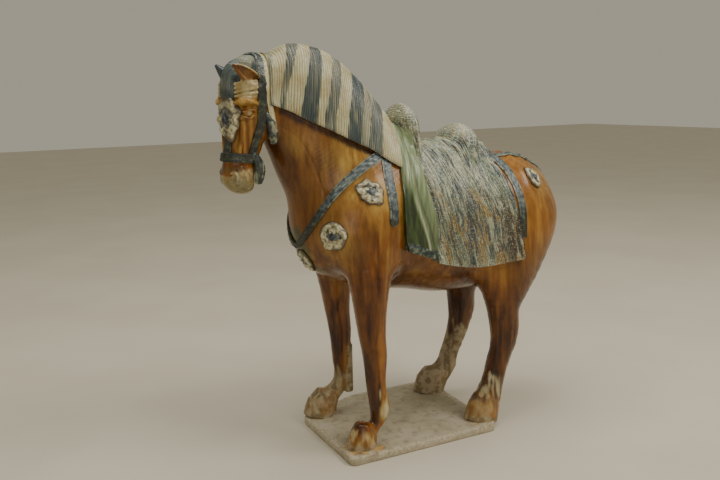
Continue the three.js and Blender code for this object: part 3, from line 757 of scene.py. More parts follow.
def strap_glaze():
    m = Paint("strap_glaze", rough=0.45, coat=0.3, coat_rough=0.15)
    blotch = m.noise(m.position, 130, 3, 0.65)
    # On the straps the groove layer is painted shade; on the loops and cheekpieces it is random dark tone.
    colour = m.layers(
        m.ramp(
            blotch,
            (0.36, (44, 54, 60)), (0.46, (78, 94, 100)), (0.58, (112, 124, 124)), (0.7, (146, 150, 132)),
        ),
        ("low", m.ramp(blotch, (0.38, (28, 32, 26)), (0.55, (54, 60, 46)), (0.68, (92, 96, 70)))),
        (m.times("pale", m.step(blotch, 0.38, 0.5)), (144, 148, 124)),
        (m.times("groove", 0.75), (24, 28, 32)),
    )
    return m.finish(colour, m.noise(m.position, 900, 2, 0.5), 0.15)


def pendant_glaze():
    m = Paint("pendant_glaze", rough=0.4, coat=0.35, coat_rough=0.12)
    p = m.position
    creams = (0.36, (138, 124, 82)), (0.48, (186, 178, 138)), (0.62, (214, 212, 184))
    cream = m.ramp(m.noise(p, 190, 4, 0.65), *creams)
    blue = m.ramp(m.noise(p, 170, 2, 0.5), (0.4, (22, 28, 38)), (0.55, (44, 56, 70)), (0.68, (104, 114, 114)))
    # The brown layer is a painted shadow round the rim and painted shade in the creases.
    colour = m.layers(cream, ("grey", (104, 108, 86)), ("blue", blue), ("brown", (74, 48, 26)))
    return m.finish(colour, m.noise(p, 800, 2, 0.5), 0.12)


def bare_clay():
    m = Paint("bare_clay", rough=0.85, coat=0.0)
    patch = m.noise(m.position, 11, 4, 0.6, 0.6)
    small = m.noise(m.position, 60, 4, 0.65)
    grain = m.noise(m.position, 320, 4, 0.7)
    crust = m.mix(m.step(grain, 0.4, 0.6), (196, 188, 166), (168, 154, 126))
    stain = m.step(m.noise(m.position, 45, 3, 0.6), 0.4, 0.58)
    colour = m.layers(
        m.ramp(patch, (0.35, (156, 146, 122)), (0.5, (176, 166, 142)), (0.65, (188, 180, 158))),
        (m.times(m.step(small, 0.52, 0.62), 0.45), (134, 118, 92)),
        (m.times(m.step(grain, 0.55, 0.7), 0.3), (110, 96, 78)),
        (m.times("worn", m.step(small, 0.42, 0.52)), crust),
        (m.times("amber", stain), m.mix(m.step(small, 0.4, 0.6), (104, 68, 30), (188, 150, 84))),
    )
    return m.finish(colour, m.plus(grain, m.times(small, 0.8)), 0.5)


# The horse.


def line_distance(p, stops):
    """Distance in mm from each point to a line through the stops."""
    line = smooth_rows(stops, 6)
    best = np.full(len(p), FAR)
    low, high = line.min(0) - 30, line.max(0) + 30
    near = ((p > low) & (p < high)).all(1)
    q = p[near]
    d = best[near]
    for a, b in zip(line[:-1], line[1:]):
        ab = b - a
        t = np.clip(((q - a) @ ab) / (ab @ ab), 0, 1)
        d = np.minimum(d, np.linalg.norm(q - a - t[:, None] * ab, axis=1))
    best[near] = d
    return best


# The jugular groove is cut into the neck, with painted shade in it, and a painted shadow lies along the mane's
# lower edge.
NECK_GROOVE = [[222, 27, 566], [215, 31, 549], [191, 39, 531], [173, 46, 499], [160, 50, 462], [150, 54, 425]]
MANE_EDGE = [[30, 76, 484], [76, 68, 503], [110, 60, 519], [146, 52, 537], [181, 44, 553], [214, 38, 572]]
BREAST_STAIN = [[186, 12, 372], [176, 16, 346], [168, 18, 318], [150, 30, 296]]
# Where the amber runs thin and golden on either side; the spots high on the neck are partly painted
# highlights. Each has how much, the place and its size.
GOLDEN = [
    (1.0, 66, 96, 430, 40), (1.0, 112, 78, 450, 34), (0.9, 150, 78, 368, 34), (0.85, -270, 62, 425, 40),
    (0.75, -284, 50, 372, 36), (0.95, 112, 62, 504, 46), (0.6, 190, 46, 520, 26), (0.8, 0, 88, 290, 16),
]


def both_sides(p):
    return np.column_stack([p[:, 0], np.abs(p[:, 1]), p[:, 2]])


def body_relief(p):
    x, y, z = p.T
    r = 0.35 * noise(3, x / 22, y / 22, z / 30)
    r -= 1.9 * bump(line_distance(both_sides(p), NECK_GROOVE), 0, 1.9)
    low = z < 215
    if low.any():
        x, y, z = p[low].T
        drips = noise(4, x / 4.5, y / 4.5, z / 60)
        r[low] += 1.1 * ease(drips, 0.15, 0.6) * ease(215 - z, 0, 50)
        r[low] += 0.7 * noise(5, x / 8, y / 8, z / 7) * ease(z, 16, 30) * ease(70 - z, 0, 20)
    return r


def around(x, y, z, cx, cy, cz, size):
    """From 1 at a place to 0 well away from it."""
    return np.exp(-((x - cx) ** 2 + (y - cy) ** 2 + (z - cz) ** 2) / size**2)


def body_colour(p, normal):
    """Where the amber glaze is darker from its runs and from painted shade, more golden, cream, stained green
    or gone.
    """
    x, y, z = p.T
    q = both_sides(p)
    speckle = noise(11, x / 9, y / 9, z / 22)
    fine = noise(12, x / 2.6, y / 2.6, z / 9)
    drips = noise(13, x / 4.5, y / 4.5, z / 55)
    leg = ease(300 - z, 0, 110)
    near, fore = y > 0, x > -40
    bulb = bump(x, 76, 9) * bump(z, 74, 16) * (near & fore) * ease(normal[:, 1], 0.1, 0.6)

    # Painted shade where the skin faces down, and darker glaze runs on the lower legs.
    dark = 0.45 * ease(-normal[:, 2], 0.0, 0.9) + 0.45 * leg * ease(drips + 0.4 * fine, -0.1, 0.5)
    # Painted shade on the forward-facing chest and on the lower front of the neck.
    dark += 0.3 * ease(normal[:, 0], 0.1, 0.8) * ease(z, 330, 430) * ease(x, 90, 130)
    dark += 0.15 * ease(x, 110, 190) * ease(520 - z, 0, 60)
    dark += 0.18 * ease(drips, 0.25, 0.7) * ease(430 - z, 0, 40)
    dark += 0.5 * ease(-x, 150, 190) * ease(350 - z, 0, 60)
    # Painted shade on the forward-facing lower legs, broken up by the glaze's runs.
    dark += 0.75 * ease(normal[:, 0] + 0.25 * drips, -0.1, 0.5) * ease(240 - z, 0, 110)
    # Painted shade in the jugular groove, and a painted shadow below the mane's lower edge.
    dark = np.maximum(dark, 0.85 * bump(line_distance(q, NECK_GROOVE), 0, 1.6))
    dark = np.maximum(dark, 0.9 * ease(9 + 2 * fine - line_distance(q, MANE_EDGE), 0, 7))

    honey = np.max([amount * around(*q.T, *spot) for amount, *spot in GOLDEN], axis=0)
    honey = np.maximum(honey, 0.35 * ease(-drips, 0.2, 0.7) * ease(z, 120, 300))
    honey *= 0.75 + 0.35 * speckle

    # Glaze runs over the lower legs, thins to cream at the fetlocks and pools on the hooves. For each leg:
    # where it is, the glaze's lower edge, the end of the cream and how much cream there is, the top of the
    # hoof's glaze, how golden and how creamy that is, and how bare the clay is.
    edge = 12 * speckle + 18 * drips + 5 * fine
    bands = [
        (near & fore, 104, 58, 0.8 * ease(drips - 0.03 * (x - 74), 0.1, 0.4), 52, 1.0, 0.6, 0.0),
        (~near & fore, 104, 30, 0.75 * ease(drips + 0.3 * speckle, -0.3, 0.3), 40, 0.4, 0.6, 0.45),
        (near & ~fore, 100, 52, 0.7 * ease(drips + 0.4 * speckle, 0.0, 0.4), 60, 0.7, 0.3, 0.1),
        (~near & ~fore, 146, 40, 0.5 * ease(drips + 0.3 * speckle, -0.1, 0.4), 50, 0.1, 0.2, 0.8),
    ]
    cream, clay, gold, pool = np.zeros((4, len(p)))
    for where, top, foot, amount, hoof_top, golden, creamy, bare in bands:
        fall = ease(top + edge - z, 0, 14)
        on_hoof = ease(hoof_top + 0.4 * edge - z, 0, 14)
        cream = np.where(where, fall * ease(z + edge * 0.4 - foot, 0, 10) * amount, cream)
        gold = np.where(where, golden * on_hoof, gold)
        pool = np.where(where, creamy * on_hoof * ease(speckle + 0.6 * drips, -0.15, 0.35), pool)
        clay = np.where(where, bare * fall * (1 - 0.4 * ease(drips, 0.2, 0.6)), clay)
    block = (y < -60) & (x > 30) & (x < 57 + 2 * fine) & (x < 62) & (z > 46) & (z < 142 + 4 * fine)
    cream = np.maximum(cream, 0.95 * ease(bulb + 0.12 * fine, 0.3, 0.6))
    cream = np.where(block, 0, np.maximum(cream, pool))
    clay = np.maximum(np.where(block, 1.0, clay), 0.85 * ease(27 + 6 * speckle - z, 0, 7))
    honey = np.maximum(honey * (1 - leg), gold * (0.25 + 0.5 * ease(speckle + 0.5 * fine, -0.2, 0.5)))
    honey = np.maximum(honey, 0.6 * ease(bulb, 0.1, 0.3))
    above = ease(z + 4 * fine, 42, 54)
    dark = dark * (0.25 + 0.75 * above) + 0.5 * (1 - above) * ease(fine + drips, 0.35, 0.8)
    dark = np.where(near | (z > 60), dark, dark + 0.45 * ease(speckle - fine, 0.0, 0.5))
    dark = dark * (1 - 0.8 * ease(bulb, 0.2, 0.45)) * (1 - 0.6 * gold)
    green = 0.9 * ease(16 + 6 * speckle - line_distance(q, BREAST_STAIN), 0, 10)
    paints = {"honey": honey, "cream": cream, "clay": clay, "green": green, "slate": np.zeros(len(p))}
    return {"dark": np.clip(dark, 0, 0.92)} | {key: np.clip(value, 0, 1) for key, value in paints.items()}


def build_horse(material):
    fine = horse_field(True)

    def body(x, y, z):
        return fine(x, y, z) - body_relief(np.stack([x, y, z], -1))

    def head(x, y, z):
        """The same, sunk a little behind the seam so that it hides under the neck."""
        ahead = unturn(x, y)[0] - HEAD_PLANE
        here = ((z > 480) | (ahead > 30)) & (x > 150)
        return body(x, y, z) + np.where(here, 0.12 * np.clip(-ahead - 4, 0, 12), 0)

    def middles(verts, faces):
        x, y, z = verts[faces].mean(1).T
        return x, unturn(x, y)[0] - HEAD_PLANE, z

    verts, faces = surface_net(body, (-345, -142, 8), (330, 142, 690), BODY_CELL)
    x, ahead, z = middles(verts, faces)
    behind_seam = (ahead < 0) | (z < 425)
    for name, part in (("horse_front", x >= HALVES_MEET), ("horse_rear", x < HALVES_MEET)):
        v, f = used_only(verts, faces[behind_seam & part])
        v, n = settle(body, v, BODY_CELL, step=2.4)
        write_mesh(name, material, "amber_glaze", v, f, n, **body_colour(v, n))

    verts, faces = surface_net(head, (195, -62, 428), (322, 86, 690), HEAD_CELL)
    x, ahead, z = middles(verts, faces)
    v, f = used_only(verts, faces[(ahead > -9) & (z > 432)])
    v, n = settle(head, v, HEAD_CELL)
    write_mesh("horse_head", material, "amber_glaze", v, f, n, **head_colour(v, n))


def head_colour(p, normal):
    x, y = unturn(p[:, 0], p[:, 1])
    z, side, down = p[:, 2], np.abs(y), -normal[:, 2]
    speckle = noise(21, x / 8, y / 8, z / 14)
    fine = noise(22, x / 3, y / 3, z / 6)
    edge = 1.5 * fine + 1.5 * speckle
    fold = ease(fine, 0.1, 0.6)
    stripes = 0.5 + 0.5 * np.cos(2 * np.pi * (x - 0.12 * z) / 11 + speckle)

    muzzle = ease(489 + edge - z - 10 * ease(x, 300, 308) * (side < 14), 0, 5) * ease(x, 268, 276)
    patch = ease(492 + edge - z, 0, 4) * ease(z, 480, 486) * ease(x, 284, 292) * (side < 24)
    brow = ease(z + edge, 592, 596) * ease(622 - z, 0, 6) * ease(x, 262, 270) * (side > 10)
    near_ear, off_ear = (ease(z, 614, 620) * (x > 270) * (side > 20) * (s * y > 0) for s in (1, -1))
    bowl = near_ear * in_near_ear(x, y, z)
    rim = (near_ear - bowl) * ease(-down, 0.0, 0.45)
    cheek = ease(x, 266, 276) * ease(592 - z, 0, 8) * ease(z, 494, 500)
    lid = ease(z + edge, 578, 582) * ease(597 - z + edge, 0, 4) * ease(side, 12, 20)
    lid *= 1 - ease(x, 296, 304) * (side < 16)
    nostril = np.minimum(1.5 * around(x, side, z, 300, 24, 475, 8), 1)
    crown = np.maximum(side < 26, (x < 276) * ease(270 - x, -6, 4)) * (near_ear < 0.5)
    slate = np.maximum(off_ear, ease(z, 622, 630) * crown)

    dark = 0.45 * cheek * stripes * (z < 565) + 0.35 * muzzle * ease(edge, 0.8, 2.5)
    # Painted shadow under the eye.
    dark += 0.5 * ease(577 - z, -3, 3) * around(x, side, z, 285, 36, 572, 7)
    # Painted shade under the brow folds and the lids, where the skin faces down.
    dark += 0.75 * ease(down, 0.15, 0.6) * brow
    dark += 0.35 * ease(down, 0.1, 0.7) * ease(z, 566, 572) * ease(600 - z, 0, 4) * (side > 14)
    # Painted shade in the nostril.
    dark = np.maximum(dark, 0.8 * nostril * fold)
    # Painted shade inside the near ear's bowl, and darker towards the back of the head.
    dark += bowl * (0.25 + 0.5 * ease(x, 288, 300)) + 0.3 * ease(262 - x, 0, 8) * ease(640 - z, 0, 60)
    honey = np.maximum(0.6 * lid + 0.45 * cheek * (1 - stripes), 0.25 * bowl)
    eye = 0.6 * around(x, side, z, 286, 36, 570, 4.5)
    cream = np.max([muzzle * (1 - patch) * (0.8 - 0.35 * fold), 0.95 * brow, 0.9 * rim, eye], axis=0)
    green = 0.4 * patch + 0.5 * muzzle * ease(478 + 4 * speckle - z, 0, 14)
    cream *= 1 - slate
    paints = {"honey": honey, "cream": cream, "clay": np.zeros(len(p)), "green": green, "slate": slate}
    return {"dark": np.clip(dark, 0, 0.9)} | {key: np.clip(value, 0, 1) for key, value in paints.items()}


def in_near_ear(x, y, z):
    """How far the near ear's skin is inside its bowl: there it faces back to the ear's own line."""
    line = np.array(NEAR_EAR, float)
    middle_y, middle_z, half = (np.interp(x, line[:, 0], line[:, k]) for k in (1, 2, 3))
    return ease(0.75 * half - np.abs(z - middle_z), -1.5, 1.0) * ease(y - middle_y, -2.0, 2.0)


# Mane, cloth and drapes.


def unit_grid(rows, cols, low=-1.0):
    return np.meshgrid(np.linspace(0, 1, rows), np.linspace(low, 1, cols), indexing="ij")


def upright(x, z):
    """Points in the horse's middle plane."""
    return np.stack([x, np.zeros_like(x), z + 0 * x], -1)


def fan(heart, top, s, v, last=90.0):
    """Rays in an upright plane, from the top of the back (v 0) out to a flank (v 1)."""
    angle = np.radians(last) * v
    up = (top - heart) / np.linalg.norm(top - heart, axis=-1, keepdims=True)
    return up * np.cos(angle)[..., None] + np.array([0, 1.0, 0]) * (s * np.sin(angle))[..., None]


def hang(base, down, s, order, gain):
    """Below the flank's roundest part, no column of a sheet lies further in than the one above it."""
    for above, j in itertools.pairwise(order):
        if down[0, j] > 0.5:
            base[:, j, 1] = s * np.maximum(base[:, j, 1] * s, base[:, above, 1] * s + gain)


MANE = [
    [2, 536, 16, 470], [30, 574, 48, 488], [58, 608, 76, 507], [93, 641, 110, 523],
    [129, 661, 146, 541], [164, 669, 181, 557], [200, 668, 208, 572], [236, 660, 237, 582],
]
# Where the mane's stripes end, from the poll to the withers: the place along the crest and along the lower
# edge (0 at the withers, 1 at the poll), then how blue and how dark the stripe behind that line is.
STRIPES = [
    (0.965, 0.998, 0.75, 0.1), (0.918, 0.978, 0.0, 0.0), (0.823, 0.918, 0.85, 0.6), (0.741, 0.888, 0.0, 0.0),
    (0.663, 0.762, 1.0, 0.9), (0.591, 0.645, 0.0, 0.0), (0.499, 0.600, 0.9, 0.5), (0.443, 0.531, 0.05, 0.0),
    (0.369, 0.449, 1.0, 1.0), (0.278, 0.362, 0.6, 0.2), (0.182, 0.308, 1.0, 0.6), (0.105, 0.197, 0.0, 0.0),
]


def combed(a, b, pitch, seed, wander=0.5):
    """Height from 0 to 1 of hair combed along b, with its locks side by side along a."""
    line = a / pitch + wander * noise(seed, a / 26, b / 34) + 0.3 * wander * noise(seed + 1, a / 7, b / 13)
    ridge = 0.5 + 0.5 * np.cos(2 * np.pi * line)
    strength = 0.8 + 0.3 * noise(seed + 2, line * 0.9, b / 16)
    return ridge * strength


def shag(a, b, seed, pitch=4.2):
    """Long locks side by side along a and hanging along b: their height, how each is glazed and the painted
    shade between them.
    """
    line = a / pitch + 1.1 * noise(seed, a / 26, b / 50) + 0.6 * noise(seed + 1, a / 9, b / 16)
    lock = 0.5 + 0.5 * np.cos(2 * np.pi * line)
    strand = 0.5 + 0.5 * np.cos(4 * np.pi * line + 1.2 * noise(seed + 2, line, b / 30))
    each = noise(seed + 3, line, b / 44)
    part = noise(seed + 4, line * 1.3, b / 12)
    height = 0.75 * lock * (0.7 + 0.6 * part) + 0.25 * strand
    wide = noise(seed + 5, a / 30, b / 60)
    amber = 0.7 * noise(seed + 6, line * 0.9, b / 20) + 0.8 * noise(seed + 7, a / 20, b / 38)
    paints = {
        "light": ease(0.8 * each + 0.5 * part, -0.35, 0.45),
        "amber": ease(amber, 0.28, 0.55),
        "navy": 0.85 * ease(0.9 * noise(seed + 8, line * 1.3, b / 16) + 0.4 * wide, 0.34, 0.55),
        "brown": 0.8 * ease(0.7 * noise(seed + 9, line, b / 18) - 0.5 * wide, 0.45, 0.65),
        # Painted shade in the hollows between the locks.
        "groove": np.clip(1.0 - 1.9 * height, 0, 1),
    }
    return height, paints


def build_mane(material):
    line = smooth_rows(MANE, 8)
    uu, vv = unit_grid(57, 33)
    top_x, top_z, low_x, low_z = (np.interp(uu, np.linspace(0, 1, len(line)), column) for column in line.T)
    heart = upright(low_x, low_z)
    aim = fan(heart, upright(top_x, top_z), np.sign(vv), np.abs(vv))
    rows, cols = 480, 105
    skin, aim = upsample(reach_skin(horse, heart, aim), rows, cols), upsample(aim, rows, cols)
    uu, vv = unit_grid(rows, cols)
    away = np.abs(vv)
    base = skin + aim * (3 + 3 * ease(uu, 0, 0.15) + 2.5 * away)[..., None]
    a = spread(base, 0).mean(1)[:, None] * np.ones((1, cols))
    b = spread(base, 1)
    b = b - b[:, cols // 2 : cols // 2 + 1]
    place = uu + 0.008 * noise(31, uu * 9, vv * 4)
    blue, tint = np.zeros_like(uu), np.zeros_like(uu)
    stripe_edge = np.full_like(uu, FAR)
    for top_at, low_at, bluer, darker in STRIPES:
        past = (top_at + (low_at - top_at) * (1 - (1 - away) ** 2) - place) * a[-1, 0]
        w = ease(past, -1.0, 1.0)
        blue = blue * (1 - w) + bluer * w
        tint = tint * (1 - w) + darker * w
        stripe_edge = np.minimum(stripe_edge, np.abs(past))
    streak = noise(32, uu * 150, vv * 5) + 0.5 * noise(33, uu * 60, vv * 3)
    blue = np.clip(blue + 0.35 * streak * (blue > 0.3), 0, 1)
    tint = np.clip(tint + 0.3 * noise(34, uu * 14, vv * 2), 0, 1)
    hair = combed(a, b, 4.3, 40, 0.45)
    held = ease(1 - away, 0, 0.04)
    height = 1.5 * hair + 0.7 * noise(35, a / 9, b / 30) - 1.2 * bump(stripe_edge, 0, 1.4)
    height = height * (0.3 + 0.7 * held) - 1.5 * (1 - held)
    # Groove is painted shade between the locks, and dark a painted shadow along the sheet's lower edges, where
    # it tucks under.
    sheet_mesh(
        "mane", material, "blue_glaze", base + aim * height[..., None], skin - aim * 6,
        blue=blue, tint=tint, groove=np.clip(1 - hair * 1.25, 0, 1), dark=ease(away, 0.975, 1.0),
    )


# Where the cloth's front and rear edges are, on the back and at the hem, and where the rays that find the
# skin under the cloth and the drapes point to.
CLOTH_FRONT = (-2.0, -28.0)
CLOTH_REAR = (-176.0, -203.0)
RAYS_TOP = 600.0


def build_cloth(material):
    uu, vv = unit_grid(41, 49)
    w = np.abs(vv)
    front = CLOTH_FRONT[0] + (CLOTH_FRONT[1] - CLOTH_FRONT[0]) * w
    rear = CLOTH_REAR[0] + (CLOTH_REAR[1] - CLOTH_REAR[0]) * w
    x = front + (rear - front) * uu
    heart = upright(x, 309 - 7 * np.sin(np.pi * uu) + 10 * (1 - uu) ** 3)
    aim = fan(heart, upright(x, RAYS_TOP), np.sign(vv), w, 92)
    skin, bare = reach_skin(saddled, heart, aim), reach_skin(horse, heart, aim)
    base = skin + aim * (6 + 3 * w)[..., None]
    middle, cv = 24, 49
    hang(base, w, 1, range(middle, cv), 0.4)
    hang(base, w, -1, range(middle, -1, -1), 0.4)
    rows, cols = 330, 220
    skin, bare, aim, base = (upsample(g, rows, cols) for g in (skin, bare, aim, base))
    uu, vv = unit_grid(rows, cols)
    down = np.abs(vv)
    b = spread(base, 1)
    b = np.abs(b - b[:, cols // 2 : cols // 2 + 1])
    a = uu * 185.0 - 0.16 * b * (1 - 0.6 * uu) + np.where(vv > 0, 0, 500.0)
    hair, paints = shag(a, b, 50)

    # Tan and blue glaze has run down in two broad falls, and the rear corner has browned.
    falling = ease(down, 0.35, 0.5)
    tan = bump(uu, 0.52 - 0.1 * (down - 0.7), 0.05) * falling * ease(noise(68, a / 5, b / 14), -0.5, 0.1)
    blue = bump(uu, 0.42 - 0.1 * (down - 0.7), 0.06) * falling * ease(noise(67, a / 5, b / 16), -0.5, 0.1)
    corner = ease(uu, 0.72, 0.9) * ease(down, 0.45, 0.65) * ease(noise(66, a / 5, b / 20), -0.3, 0.2)
    paints["amber"] = np.clip(np.maximum(paints["amber"] * ease(down, 0.3, 0.5), 0.8 * tan), 0, 1)
    paints["navy"] = np.clip(np.maximum(paints["navy"], blue), 0, 1)
    paints["brown"] = np.maximum(paints["brown"], corner)
    paints["light"] = np.maximum(paints["light"], 0.7 * ease(down, 0.9, 0.97))

    height = 3.3 * hair + 0.9 * noise(55, a / 16, b / 40) - 1.2
    normal = grid_normals(base)
    normal *= np.sign((normal * aim).sum(-1, keepdims=True))
    hem = ease(down, 0.965, 1.0)
    outer = base + normal * (height * (1 - hem) - 1.5 * hem)[..., None]
    outer[..., 2] += hem * (1.8 * (hair - 0.6))
    # The front and rear edges reach down to the back, so that no hollow shows beside the pommel and cantle.
    tuck = ease(np.abs(2 * uu - 1), 0.88, 0.98)[..., None]
    inner = (skin - aim * 6) * (1 - tuck) + (bare - aim * 3) * tuck
    sheet_mesh("saddle_cloth", material, "speckled_glaze", outer, inner, 4, **paints)


def build_cap(name, shape, seed, material, strands):
    """The pommel's or the cantle's shaggy crown: curls on top, locks below that sink under the cloth."""
    centre, radii, tilt = shape
    rows, cols = 110, 260
    from_top = np.linspace(0.0, math.acos(-0.35), rows)
    round_it = np.linspace(0, 2 * math.pi, cols, endpoint=False)
    tt, pp = np.meshgrid(from_top, round_it, indexing="ij")
    r = np.array(radii, float) + (1.5 + 6.5 * (1 - ease(tt, 0.75, 1.35)))[..., None]
    direction = np.stack([np.sin(tt) * np.cos(pp), np.sin(tt) * np.sin(pp), np.cos(tt)], -1)
    local = direction * r
    normal = direction / r
    normal /= np.linalg.norm(normal, axis=-1, keepdims=True)
    a = pp / (2 * math.pi) * strands * 5.0
    b = tt * radii[2]
    curl = noise(seed + 5, local[..., 0] / 7, local[..., 1] / 9, local[..., 2] / 5)
    hair, paints = shag(a + 4 * curl * (tt < 1.2), b, seed)
    crown = ease(tt, 0.55, 1.15)
    curls = 0.5 + 0.5 * np.cos(2 * np.pi * (b / 4.6 + 0.6 * curl + 0.5 * np.cos(2 * pp + 1)))
    hair = hair * crown + curls * (1 - crown)
    # Painted shade between the curls of the crown.
    paints["groove"] = paints["groove"] * crown + 0.6 * (1 - crown) * np.clip(1 - 1.9 * curls, 0, 1)
    paints["light"] = np.maximum(paints["light"], 0.75 * (1 - crown))
    for key, least in (("navy", 0.35), ("amber", 0.25), ("brown", 0.25)):
        paints[key] = paints[key] * (least + (1 - least) * crown)
    x, y, z = np.moveaxis(local + normal * ((1.5 + 0.7 * crown) * hair - 1.0)[..., None], -1, 0)
    c, s = math.cos(tilt), math.sin(tilt)
    points = np.stack([c * x + s * z, y, -s * x + c * z], -1) + np.array(centre)
    ids = np.arange(rows * cols).reshape(rows, cols)
    quads = quads_of(np.concatenate([ids, ids[:, :1]], 1).T)
    write_mesh(name, material, "speckled_glaze", points.reshape(-1, 3), quads, **paints)


def build_drape(name, s, material):
    cv = 25
    uu, vv = unit_grid(37, cv, 0)
    front = 12 + 25 * np.sin(np.pi * np.minimum(vv * 0.72, 1))
    rear = -16 - 12 * np.sin(np.pi / 2 * vv)
    x = front + (rear - front) * uu
    heart = upright(x, 341 - 22 * uu)
    aim = fan(heart, upright(x, RAYS_TOP), s, vv * 0.93 + 0.07)
    skin = reach_skin(saddled, heart, aim)
    base = skin + aim * (7 + 5 * vv - 5 * (2 * uu - 1) ** 4)[..., None]
    hang(base, vv, s, range(cv), 0.0)
    rows, cols = 120, 90
    skin, aim, base = (upsample(g, rows, cols) for g in (skin, aim, base))
    uu, vv = unit_grid(rows, cols, 0)
    a, b = spread(base, 0), spread(base, 1)
    ridge_at = 0.24 + 0.4 * ease(vv, 0.35, 0.95)
    fold = np.abs(np.sin(np.pi * (2.2 * (uu - ridge_at) + 0.5 + 0.04 * noise(61, uu * 3, vv * 2))))
    fine = combed(a, b, 7.0, 62, 0.5) * (1 - 0.7 * ease(vv, 0.35, 0.6))
    navy = ease(vv - 0.9 - 0.02 * noise(63, uu * 6, vv * 2), 0.0, 0.015)
    height = 3.5 * fold**0.8 + 0.5 * fine + 2.2 * bump(vv, 0.955, 0.035) - 0.8 * bump(vv, 0.905, 0.012)
    front = ease(ridge_at - uu, -0.02, 0.1)
    low = np.clip(ease(vv, 0.36, 0.52) * (0.1 + 0.9 * front) + 0.6 * ease(vv, 0.62, 0.84), 0, 1)
    # Painted highlights along the fold's ridge and on the crests of the strands.
    pale = 0.75 * bump(uu, ridge_at + 0.05, 0.035) * ease(vv, 0.45, 0.6) * (1 - navy)
    pale += 0.15 * ease(fine, 0.75, 1.0) * (1 - low)
    # Painted shade in the folds' hollows and between the strands.
    groove = 0.7 * np.clip(1 - 2.1 * fold, 0, 1) * (1 - 0.6 * navy)
    groove += 0.35 * ease(0.35 - fine, 0, 0.3) * (1 - low)
    sheet_mesh(
        name, material, "green_glaze", base + aim * height[..., None], skin - aim * 6,
        a=a, b=b, groove=groove, low=low, navy=navy, pale=np.clip(pale, 0, 1),
    )


# Straps and pendants.


def build_strap(
    name, material, stops, width, thick, tip=False, twill=True, dark_end=(2, 3), ends=1.0, slot="blue_glaze"
):
    """A strap laid along the stops. Its far end is narrower by the factor ends, or rounded to a tip, and the
    glaze darkens between the two parts of its length in dark_end."""
    on, out = skin_at(horse, smooth_rows(stops, 14))
    across = np.cross(np.gradient(on, axis=0), out)
    across /= np.linalg.norm(across, axis=1, keepdims=True)
    t = np.linspace(-1, 1, 13)
    half = np.linspace(width / 2, ends * width / 2, len(on))
    if tip:
        k = max(int(width / 4.4), 3)
        half[-k:] *= np.linspace(1, 0.35, k)
    q, n = skin_at(horse, on[:, None, :] + across[:, None, :] * (half[:, None] * t)[..., None], 3)
    s = spread(on[:, None, :], 0)[:, 0]
    curve = np.sqrt(np.clip(1 - np.abs(t) ** 6, 0, 1))
    lift = thick * (0.45 + 0.55 * curve) + bump(np.abs(t), 0.84, 0.12) - 0.4
    dents = 0.6 * np.cos(2 * np.pi * (s[:, None] / 4.2 + t * 0.8)) * (np.abs(t) < 0.7) * twill
    # Painted shade in the dip inside each raised edge and in the hollows of the twill.
    groove = np.clip(bump(np.abs(t), 0.64, 0.1) + 0.5 * ease(-dents, 0.1, 0.5), 0, 1)
    low = ease(s / s[-1], *dark_end)[:, None] + 0 * dents
    pale = 0.7 * ease(np.abs(t), 0.7, 0.82) * (1 - low)
    outer = q + n * (lift + dents)[..., None]
    sheet_mesh(name, material, slot, outer, q - n * 4, 2, groove=groove, low=low, pale=pale)


def leaf_reach(width, height):
    def reach(angle):
        point = np.maximum(np.sin(angle), 0) ** 6
        petals = 1 + 0.05 * np.cos(7 * angle)
        return np.hypot(width / 2 * np.cos(angle), height / 2 * np.sin(angle)) * (1 + 0.15 * point) * petals

    return reach


def petals(seed, r, angle, count):
    """Lumpy petals round a boss, from 0 in the creases to 1 on the crowns."""
    u, v = r * np.cos(angle), r * np.sin(angle)
    swirl = 0.25 * noise(seed, u * 2 + 9, v * 2 + 9)
    lobes = np.abs(np.cos(0.5 * count * angle + 2 * swirl))
    ring = np.exp(-(((r - 0.68 - 0.2 * swirl) / 0.22) ** 2))
    boss = np.exp(-((r / 0.3) ** 2))
    lumps = 0.5 + 0.5 * noise(seed + 1, u * 4 + 9, v * 4 + 9)
    small = 0.5 + 0.5 * noise(seed + 2, u * 9 + 9, v * 9 + 9)
    curl = 0.5 + 0.5 * np.cos(2 * np.pi * (2.2 * r - 0.16 * count * angle + 0.5 * swirl + 0.8 * lumps))
    crown = ring * (0.35 + 0.65 * lobes * (0.35 + 0.65 * curl)) + 0.85 * boss
    return np.clip(crown, 0, 1) * (0.6 + 0.4 * lumps) + 0.25 * small


